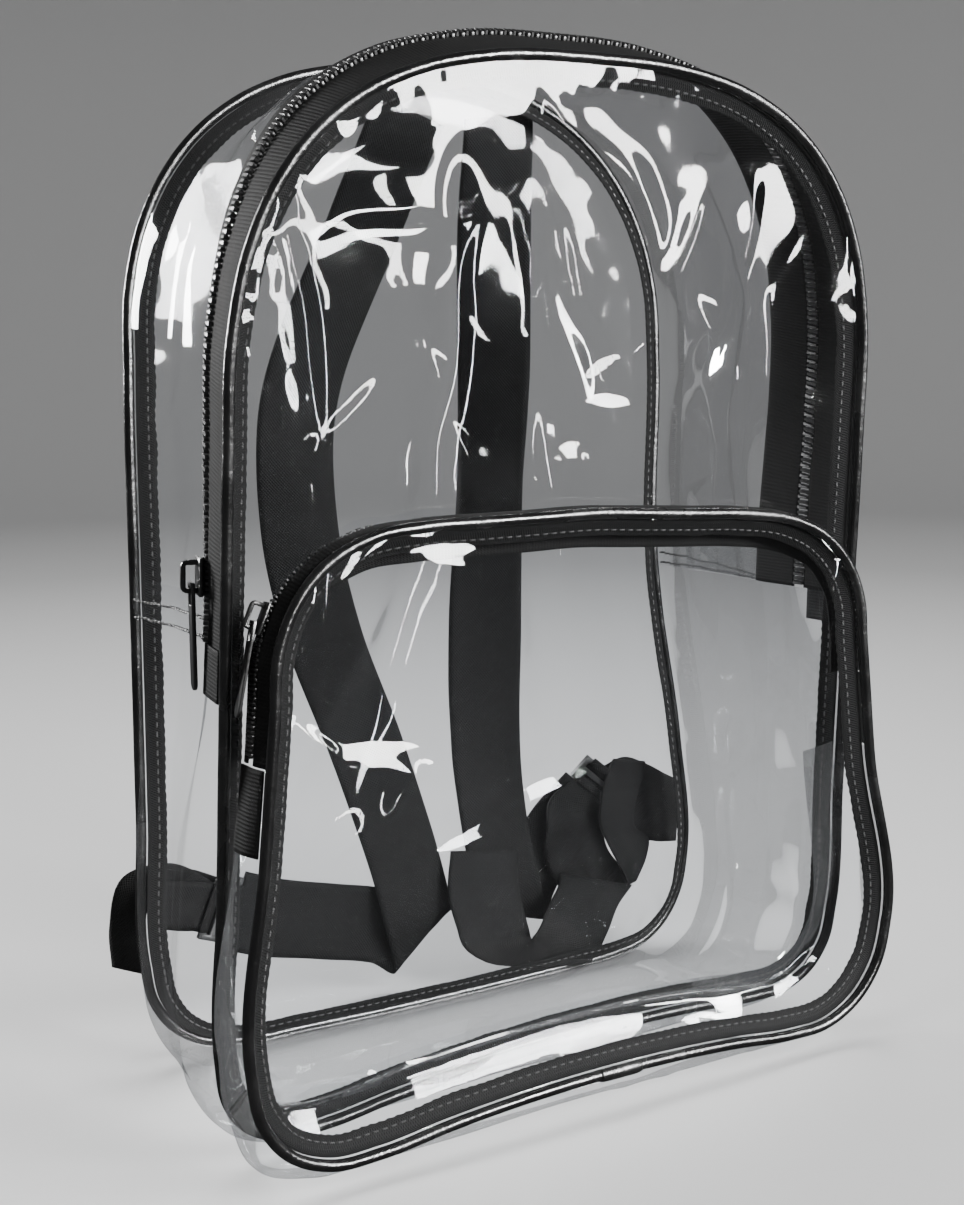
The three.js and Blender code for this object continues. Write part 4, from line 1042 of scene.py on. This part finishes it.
MAIN_SLIDER_HEIGHT = 0.214
POCKET_SLIDER_HEIGHT = 0.176
main_centre = TAPE_EDGE + MAIN_TAPE + TEETH_ROOM + TEETH_WIDE / 2
main_stop = main_band.length_at(-1, MAIN_SLIDER_HEIGHT)
MAIN_TOOTH = tooth_model(4.4 * MM, 1.35 * MM, 3.4 * MM)
teeth_row("main_zip_teeth_row", main_band, right_join + 2 * MM, main_stop, main_centre, 4.3 * MM, MAIN_TOOTH,
          "main_zip_teeth")
pocket_centre = TAPE_EDGE + POCKET_TAPE + TEETH_ROOM + POCKET_TEETH / 2
pocket_stop = pocket_band.length_at(-1, POCKET_SLIDER_HEIGHT)
POCKET_TOOTH = tooth_model(3.4 * MM, 1.1 * MM, 2.6 * MM)
teeth_row("pocket_zip_teeth_row", pocket_band, pocket_right + 2 * MM, pocket_stop, pocket_centre, 3.5 * MM,
          POCKET_TOOTH, "pocket_zip_teeth")

# %% [markdown]
# Sliders, pulls and adjusters are hard and were measured in the frame, so a copy of each frame mesh is
# merged, its flat faces are joined again, and its edges get the small round that casting leaves.

# %% The sliders, pulls and adjusters


def hard_copy(node, name, material, slot, body, width, segments=2):
    cage = merged(node)
    mesh = bpy.data.meshes.new(name)
    cage.to_mesh(mesh)
    cage.free()
    piece = bpy.data.objects.new(name, mesh)
    bpy.context.scene.collection.objects.link(piece)
    deselect()
    piece.select_set(True)
    bpy.context.view_layer.objects.active = piece
    bpy.ops.object.mode_set(mode="EDIT")
    bpy.ops.mesh.select_all(action="SELECT")
    bpy.ops.mesh.dissolve_limited(angle_limit=math.radians(2))
    bpy.ops.object.mode_set(mode="OBJECT")
    bevel = piece.modifiers.new("bevel", "BEVEL")
    bevel.width = width
    bevel.segments = segments
    bevel.limit_method = "ANGLE"
    bevel.angle_limit = math.radians(35)
    bpy.ops.object.modifier_apply(modifier=bevel.name)
    bpy.ops.object.shade_smooth_by_angle(angle=math.radians(35))
    return finish_piece(piece, name, material, slot, body, [node])


hard_copy("main_slider", "main_slider_body", ENAMEL, "slider_enamel", "bag", 0.45 * MM)
hard_copy("main_pull", "main_pull_tab", ENAMEL, "slider_enamel", "main_pull", 0.35 * MM)
hard_copy("pocket_slider", "pocket_slider_body", ENAMEL, "slider_enamel", "bag", 0.4 * MM)
hard_copy("pocket_pull", "pocket_pull_tab", ENAMEL, "slider_enamel", "pocket_pull", 0.3 * MM)
hard_copy("adjuster_left", "adjuster_left_frame", NYLON, "nylon", "bag", 0.6 * MM)
hard_copy("adjuster_right", "adjuster_right_frame", NYLON, "nylon", "bag", 0.6 * MM)

# %% [markdown]
# Straps are flat webbing that twists and folds. The frame's solid is a chain of rectangles, so walking
# from one rectangle to the next by their shared edges gives the two selvedges, and a smooth line
# through each gives the real strap, with a soft crown across it and small waves along it.

# %% The straps
RIBBON_THICK = 2.3 * MM


def ring_chain(corners, linked, ring):
    """The edge lines found from a first rectangle, or None where it isn't the strap's end."""
    gaps = [np.linalg.norm(corners[ring[0]] - corners[i]) for i in ring[1:]]
    partner = ring[1 + int(np.argmin(gaps))]
    spans = sorted(np.linalg.norm(corners[a] - corners[b]) for a, b in itertools.combinations(ring, 2))
    if spans[1] > RIBBON_THICK or spans[5] - spans[2] > 1 * MM:
        return None
    left = {ring[0], partner}
    right = set(ring) - left
    seen = set(ring)
    lines = []
    while True:
        lines.append([corners[list(left)].mean(0), corners[list(right)].mean(0)])
        following = set().union(*(linked[i] for i in left | right)) - seen
        if len(following) != 4:
            return lines if len(seen) == len(corners) else None
        seen |= following
        head = max(sorted(following), key=lambda i: len(linked[i] & left))
        rest = sorted(following - {head}, key=lambda i: np.linalg.norm(corners[i] - corners[head]))
        left, right = {head, rest[0]}, set(rest[1:])


def selvedges(node):
    """The two edge lines of a strap, rectangle by rectangle, from its higher end."""
    cage = merged(node)
    corners = np.array([v.co for v in cage.verts])
    linked = [{e.other_vert(v).index for e in v.link_edges} for v in cage.verts]
    cage.free()
    for start in np.argsort(-corners[:, 2]):
        for others in itertools.combinations(sorted(linked[start]), 3):
            lines = ring_chain(corners, linked, [int(start), *others])
            if lines:
                return np.array(lines)
    raise ValueError(f"{node} is no chain of rectangles")


def open_line(rows, places):
    """Smooth values through rows at places from 0 to 1 along them."""
    flat = rows.reshape(len(rows), -1)
    middle = rows.mean(1)
    gaps = np.maximum(np.linalg.norm(np.diff(middle, axis=0), axis=1), 1e-6)
    knots = np.concatenate([[0], np.cumsum(gaps)])
    slope = np.diff(flat, axis=0) / gaps[:, None]
    tangent = np.concatenate([slope[:1], (slope[1:] + slope[:-1]) / 2, slope[-1:]])
    where = np.asarray(places) * knots[-1]
    low = np.clip(np.searchsorted(knots, where, "right") - 1, 0, len(gaps) - 1)
    width = gaps[low][:, None]
    t = ((where - knots[low]) / width[:, 0])[:, None]
    value = ((2 * t**3 - 3 * t**2 + 1) * flat[low] + (t**3 - 2 * t**2 + t) * width * tangent[low]
             + (3 * t**2 - 2 * t**3) * flat[low + 1] + (t**3 - t**2) * width * tangent[low + 1])
    return value.reshape((len(where),) + rows.shape[1:]), knots[-1]


def strap_piece(name, node, columns, thick, rib, seed):
    lines = selvedges(node)
    long = np.linalg.norm(np.diff(lines.mean(1), axis=0), axis=1).sum()
    edges, _ = open_line(lines, np.linspace(0, 1, max(6, int(long / (2.5 * MM)))))
    share = np.linspace(0, 1, columns)
    points = edges[:, :1] * (1 - share)[None, :, None] + edges[:, 1:] * share[None, :, None]
    normal = np.cross(np.gradient(points, axis=0), np.gradient(points, axis=1))
    normal /= np.maximum(np.linalg.norm(normal, axis=2), 1e-9)[..., None]
    wave = soft_noise(points, 26 * MM, seed) * 0.8 * MM + (share * (1 - share) * 1.2 * MM)[None, :]
    piece = grid_piece(points + normal * wave[..., None])
    thicken(piece, thick)
    wide = np.linalg.norm(lines[0, 1] - lines[0, 0])
    weave = weave_finish(name + "_weave", 0.008, long / rib, wide / (1.5 * MM), 0.68, 0.3 * MM)
    print(name, len(lines), "rectangles,", round(long, 3), "m long,", round(wide, 3), "m wide")
    return finish_piece(wind_out(piece), name, weave, "webbing", replaced=[node])


strap_piece("shoulder_strap_left_webbing", "shoulder_strap_left", 13, 1.6 * MM, 1.7 * MM, 81)
strap_piece("shoulder_strap_right_webbing", "shoulder_strap_right", 13, 1.6 * MM, 1.7 * MM, 83)
strap_piece("lower_webbing_left_band", "lower_webbing_left", 9, 1.4 * MM, 1.4 * MM, 85)
strap_piece("webbing_tail_band", "webbing_tail_left", 9, 1.4 * MM, 1.4 * MM, 89)

# %% [markdown]
# An adjuster is never empty: the strap's end passes up through its first slot, over the middle bar and
# down through the second. A short ribbon follows that way on each adjuster, read off the frame's own
# three axes: its long side, the way through its slots, and its face.

# %% The webbing in the adjusters
LOOP_WAY = [(-7.5, -1.9), (-4.6, -1.2), (-2.6, 1.3), (0, 2.3), (2.6, 1.3), (4.6, -1.2), (8.5, -1.9)]


def ribbon(name, middle, across, wide, thick, rib, seed):
    """A ribbon along a line, with its own direction across at each place."""
    share = np.linspace(-0.5, 0.5, 9)
    points = middle[:, None] + across[:, None] * (share * wide)[:, None]
    points = points + soft_noise(points, 9 * MM, seed)[..., None] * 0.2 * MM
    piece = grid_piece(points)
    thicken(piece, thick)
    long = np.linalg.norm(np.diff(middle, axis=0), axis=1).sum()
    weave = weave_finish(name + "_weave", 0.008, long / rib, wide / (1.5 * MM), 0.68, 0.3 * MM)
    return finish_piece(wind_out(piece), name, weave, "webbing")


def plate_axes(node):
    """A flat plate's centre and its axes, longest first."""
    cage = merged(node)
    corners = np.array([v.co for v in cage.verts])
    cage.free()
    centre = corners.mean(0)
    return centre, np.linalg.svd(corners - centre, full_matrices=False)[2]


for label, seed in (("left", 101), ("right", 103)):
    middle, (long_way, slot_way, face_way) = plate_axes(f"adjuster_{label}")
    outer = face_way * (1 if face_way[1] > 0 else -1)
    way, _ = open_line(np.array([[[a, b]] for a, b in LOOP_WAY]), np.linspace(0, 1, 26))
    line = middle + slot_way * way[:, 0, :1] * MM + outer * way[:, 0, 1:] * MM
    ribbon(f"adjuster_loop_{label}", line, np.repeat(long_way[None], len(line), 0), 25 * MM, 1.2 * MM,
           1.4 * MM, seed)

# %% [markdown]
# The padded ends of the shoulder straps are drawn together where they meet the adjusters, so the webbing
# there lies in crumpled turns. Each is a broad sheet between two edges, given as a short table of rows:
# the first edge's place across and up, the second edge's, and the depth, all in millimetres. Soft waves
# and a few sharp folds then stand it off in depth.

# %% The crumpled strap ends
BUNCH_THICK = 1.3 * MM
WAVE_SIZE, WAVE_HIGH = 17 * MM, 2.4
FOLD_SIZE, FOLD_HIGH = 24 * MM, 1.8
BUNCH_RIBS, BUNCH_THREADS = 70, 26
BUNCH_RIGHT = [(87, 36, 133, 29, 62), (79, 51, 125, 42, 62), (78, 70, 116, 54, 62), (81, 85, 115, 62, 62),
               (93, 94, 119, 65, 62), (110, 98, 124, 64, 61), (126, 103, 131, 60, 59),
               (139, 98, 138, 56, 57), (151, 91, 146, 54, 55), (162, 85, 156, 53, 53)]
BUNCH_RIGHT_INNER = [(117, 104, 137, 100, 56), (112, 94, 135, 89, 55), (108, 83, 129, 76, 54),
                     (107, 71, 130, 65, 54), (112, 59, 139, 57, 54), (118, 47, 137, 47, 54),
                     (126, 33, 131, 34, 55)]
STRAP_FOLD = [(17, 70, 56, 64, 56), (13, 51, 55, 43, 52), (14, 34, 55, 29, 46), (16, 23, 54, 23, 40),
               (27, 15, 52, 23, 35), (47, 10, 51, 24, 33), (68, 6, 53, 26, 33), (89, 3, 59, 30, 36),
               (103, 12, 68, 36, 43), (116, 24, 78, 42, 50), (130, 31, 84, 46, 57)]
BUNCH_LEFT = [(-96, 72, -96, 44, 58), (-108, 78, -107, 48, 60), (-120, 84, -119, 54, 58),
              (-131, 87, -131, 58, 54), (-141, 89, -141, 62, 50)]


def crumple(name, rows, seed, fold, replaced=()):
    table = np.array(rows, float) * MM
    edges = np.stack([table[:, [0, 4, 1]], table[:, [2, 4, 3]]], 1)
    edges, _ = open_line(edges, np.linspace(0, 1, 46))
    share = np.linspace(0, 1, 19)[None, :, None]
    points = edges[:, :1] * (1 - share) + edges[:, 1:] * share
    waves = soft_noise(points, WAVE_SIZE, seed) * WAVE_HIGH
    waves += sharp_folds(points, FOLD_SIZE, seed + 2) * FOLD_HIGH
    points[..., 1] += (waves * fold - 1) * MM
    piece = grid_piece(points)
    thicken(piece, BUNCH_THICK)
    weave = weave_finish(name + "_weave", 0.008, BUNCH_RIBS, BUNCH_THREADS, 0.68, 0.3 * MM)
    return finish_piece(wind_out(piece), name, weave, "webbing", replaced=replaced)


crumple("strap_bunch_right", BUNCH_RIGHT, 111, 1.0, ["lower_webbing_right"])
crumple("strap_fold_right", STRAP_FOLD, 119, 0.4)
crumple("strap_bunch_right_inner", BUNCH_RIGHT_INNER, 114, 0.7)
crumple("strap_bunch_left", BUNCH_LEFT, 117, 0.9)

# %% [markdown]
# At the pocket's upper left corner the film that the zip is sewn to stands out past the tape as a clear
# rim a few millimetres wide, with its own row of stitches. It is a narrow sheet beside the pocket's foot.

# %% The clear rim beside the pocket zip
RIM_LOW = 0.222
RIM_WIDE = 6 * MM
RIM_STITCH = stitch_model(2.4 * MM, 0.6 * MM)


def clear_rim():
    start = pocket_band.length_at(-1, RIM_LOW)
    end = start - 120 * MM
    lengths = np.linspace(start, end, 90)
    foot = round_loop(pocket_foot, pocket_band.knots, lengths)
    out = round_loop(outward(pocket_foot), pocket_band.knots, lengths)
    share = np.linspace(0, 1, 8)
    fade = np.clip(np.minimum(np.arange(90), np.arange(90)[::-1]) / 12, 0.15, 1)
    wide = RIM_WIDE * fade * (1 + 0.25 * soft_noise(foot, 18 * MM, 121))
    points = foot[:, None] + out[:, None] * (share[None, :] * wide[:, None] - 1 * MM)[..., None]
    points[..., 1] -= 1.2 * MM + soft_noise(points, 7 * MM, 123) * 0.9 * MM + share * 1.5 * MM
    piece = face_out(grid_piece(points))
    finish_piece(piece, "pocket_rim_film", FILM, "film")
    spots = slice(6, 84, 3)
    along = np.gradient(foot, axis=0)[spots]
    along /= np.linalg.norm(along, axis=1)[:, None]
    origin = points[spots, 3] - BACKWARD * 0.4 * MM
    front = np.repeat(-BACKWARD[None], len(origin), 0)
    frames = (origin, along, np.cross(front, along), front)
    row_piece("pocket_rim_stitches", RIM_STITCH, frames, THREAD, "binding")


clear_rim()

# %% [markdown]
# Beside the zip the upper gusset laps over the lower one, and two rows of stitches hold the lap. The
# film there is a second layer, and it puckers between the rows.

# %% The laps and their stitches
LAP_RAISE = 1.3 * MM


def lap_piece(side, label, seed):
    ends = sorted(main_band.length_at(side, z) for z in (JOIN, LAP_TOP))
    rows = 14
    points = main_band.grid(np.linspace(*ends, rows), upper_columns)
    normal = surface_normals(points)
    shift = LAP_RAISE + soft_noise(points, 8 * MM, seed) * 0.7 * MM
    piece = face_out(grid_piece(points + normal * shift[..., None]))
    return finish_piece(piece, f"gusset_lap_{label}_film", FILM, "film", replaced=[f"gusset_lap_{label}"])


lap_piece(1, "right", 91)
lap_piece(-1, "left", 93)

LAP_STITCH = stitch_model(3.2 * MM, 1.0 * MM)


def cross_stitches(name, side, from_height, to_height, seed):
    """A row across the gusset, from the zip's rear tape to the back seam."""
    heights = np.linspace(from_height, to_height, 24)
    lengths = [main_band.length_at(side, z) for z in heights]
    places = np.linspace(0, 1, 24)
    spots = []
    for length, share in zip(lengths, places):
        column = (share, upper_start * (1 - share) - 5 * MM * share)
        nearby = (share, upper_start * (1 - share) - 5 * MM * share + 1 * MM)
        spots.append(main_band.grid([length, length + 1 * MM], [column, nearby]))
    spots = np.array(spots)
    origin = spots[:, 0, 0]
    along = spots[:, 0, 1] - origin
    along /= np.linalg.norm(along, axis=1)[:, None]
    up = spots[:, 1, 0] - origin
    normal = np.cross(along, up)
    normal /= np.linalg.norm(normal, axis=1)[:, None]
    normal *= np.sign(normal[:, :1] * side)
    jitter = soft_noise(origin, 6 * MM, seed)[:, None] * 0.6 * MM
    origin = origin + normal * (LAP_RAISE + 0.4 * MM) + np.array([0, 0, 1.0]) * jitter
    frames = (origin, along, np.cross(normal, along), normal)
    return row_piece(name, LAP_STITCH, frames, THREAD, "binding")


cross_stitches("lap_stitches_left_upper", -1, 0.218, 0.216, 95)
cross_stitches("lap_stitches_left_lower", -1, 0.210, 0.2085, 96)
cross_stitches("lap_stitches_right_upper", 1, 0.2095, 0.215, 97)
cross_stitches("lap_stitches_right_lower", 1, 0.2085, 0.2095, 98)

# %% [markdown]
# The ends of a piping meet at the middle of the bottom, under a short sleeve that is wrapped round them.

# %% The piping sleeves


def sleeve_piece(name, stations, across, long, node):
    rim = Rim(stations, 0.5 * MM)
    near = (abs(rim.line[:, 0] - across) < long / 2) & (rim.line[:, 2] < 0.05)
    line, out = rim.line[near], rim.out[near]
    order = np.argsort(line[:, 0])
    line, out = line[order], out[order]
    turn = np.radians(np.linspace(-165, -5, 15))
    share = np.linspace(-1, 1, len(line))
    reach = CORD_RADIUS + 0.55 * MM - 0.35 * MM * abs(share) ** 6
    reach = reach + soft_noise(line, 4 * MM, 9) * 0.12 * MM
    points = line[:, None] + reach[:, None, None] * (out[:, None] * np.cos(turn)[:, None]
                                                    + BACKWARD * np.sin(turn)[:, None])
    piece = thicken(grid_piece(points), 0.6 * MM)
    return finish_piece(wind_out(piece), name, CORD, "binding", replaced=[node])


front_middle = -0.00078
sleeve_piece("front_piping_sleeve", front_seam, front_middle, 11 * MM, "piping_sleeve_front")
sleeve_piece("pocket_piping_sleeve", pocket_seam, front_middle + 9.5 * MM, 21 * MM, "piping_sleeve_pocket")

# %% [markdown]
# The studio is a round paper floor whose rim curves up, so no horizon shows from any side, with dim air
# above it. The paper's colour holds a painted pool of light and painted shade: paler near the bag and darker
# far from it, like a lit floor before a dimmer wall.
# Clear film shows mostly what it mirrors: it does not mirror the paper, the dim air keeps it clear, and a
# few bright cards give its creases their white shapes.

# %% The floor and the air
FLOOR_FLAT = 2.3
FLOOR_BEND = 0.9
FLOOR_RIM = 1.0
PAINTED_LIGHT_TO, PAINTED_SHADE_FROM = 0.4, 1.6
AIR_STRENGTH = 0.12


def studio_floor():
    deselect()
    bpy.ops.mesh.primitive_circle_add(vertices=96, radius=FLOOR_FLAT, fill_type="NGON")
    piece = bpy.context.active_object
    bpy.ops.object.mode_set(mode="EDIT")
    bpy.ops.mesh.select_mode(type="EDGE")
    bpy.ops.mesh.select_all(action="SELECT")
    bpy.ops.mesh.region_to_loop()
    radius, height = FLOOR_FLAT, 0.0
    for k in range(1, 10):
        turn = min(k, 8) / 8 * math.pi / 2
        wider = FLOOR_FLAT + FLOOR_BEND * math.sin(turn)
        higher = FLOOR_BEND * (1 - math.cos(turn)) + (FLOOR_RIM if k == 9 else 0)
        bpy.ops.mesh.extrude_edges_move(TRANSFORM_OT_translate={"value": (0, 0, higher - height)})
        bpy.ops.transform.resize(value=(wider / radius, wider / radius, 1))
        radius, height = wider, higher
    bpy.ops.mesh.select_all(action="SELECT")
    bpy.ops.mesh.normals_make_consistent(inside=True)
    bpy.ops.object.mode_set(mode="OBJECT")
    bpy.ops.object.shade_smooth()
    return piece


floor = studio_floor()
floor.name = "studio_floor"
paper = Finish("studio_paper")
# Painted light and shade: the paper's colour is painted pale near the bag and darker far from it.
far = (paper.axis("X") * paper.axis("X") + paper.axis("Y") * paper.axis("Y")) ** 0.5
floor.data.materials.append(paper.done(paper.shader(
    Base_Color=paper.blend(far.between(PAINTED_LIGHT_TO, PAINTED_SHADE_FROM), grey(0.64), grey(0.36)), Roughness=0.8)))
floor.visible_glossy = False

world = bpy.data.worlds.new("studio_air")
bpy.context.scene.world = world
world.use_nodes = True
world.node_tree.nodes["Background"].inputs["Color"].default_value = (0.62, 0.63, 0.66, 1)
world.node_tree.nodes["Background"].inputs["Strength"].default_value = AIR_STRENGTH

# %% [markdown]
# Where a soft box shows in the film is a matter of mirrors. The front panel's mirror image points to the
# right of the camera and a little down, so a bright card stands there and higher: film that leans back a
# little shows it. Two tall strips beside it draw a line along each upright crease, and a card behind on the
# left is for the gussets. Cards show only in gloss, and the three large boxes only give the soft light, so
# each can be set without spoiling the other.

# %% The lights and the end of the script


def soft_light(name, place, target, size, power):
    bpy.ops.object.light_add(type="AREA", location=place)
    lamp = bpy.context.active_object
    lamp.name = name
    lamp.data.shape = "RECTANGLE"
    lamp.data.size = size[0]
    lamp.data.size_y = size[1]
    lamp.data.energy = power
    aim = Vector(target) - Vector(place)
    lamp.rotation_euler = aim.to_track_quat("-Z", "Y").to_euler()
    lamp.visible_camera = False
    return lamp


MIDDLE = (0, 0, 0.25)
CARDS = [
    ("key_card", (0.75, -1.5, 0.76), (0.5, 0.62), 150),
    ("strip_card_right", (1.3, -1.15, 0.7), (0.12, 1.1), 46),
    ("strip_card_left", (0.2, -1.9, 0.7), (0.12, 1.1), 46),
    ("rear_card", (-0.95, 1.65, 0.75), (0.34, 0.7), 85),
]
SOFT_BOXES = [
    ("front_box", (0.9, -1.6, 1.3), (1.0, 1.0), 42),
    ("side_box", (-1.9, -0.4, 1.1), (0.9, 1.2), 24),
    ("top_box", (0.1, 0.6, 2.2), (1.4, 1.0), 58),
]
for name, spot, size, power in CARDS:
    soft_light(name, spot, MIDDLE, size, power).visible_diffuse = False
for name, spot, size, power in SOFT_BOXES:
    soft_light(name, spot, MIDDLE, size, power).visible_glossy = False
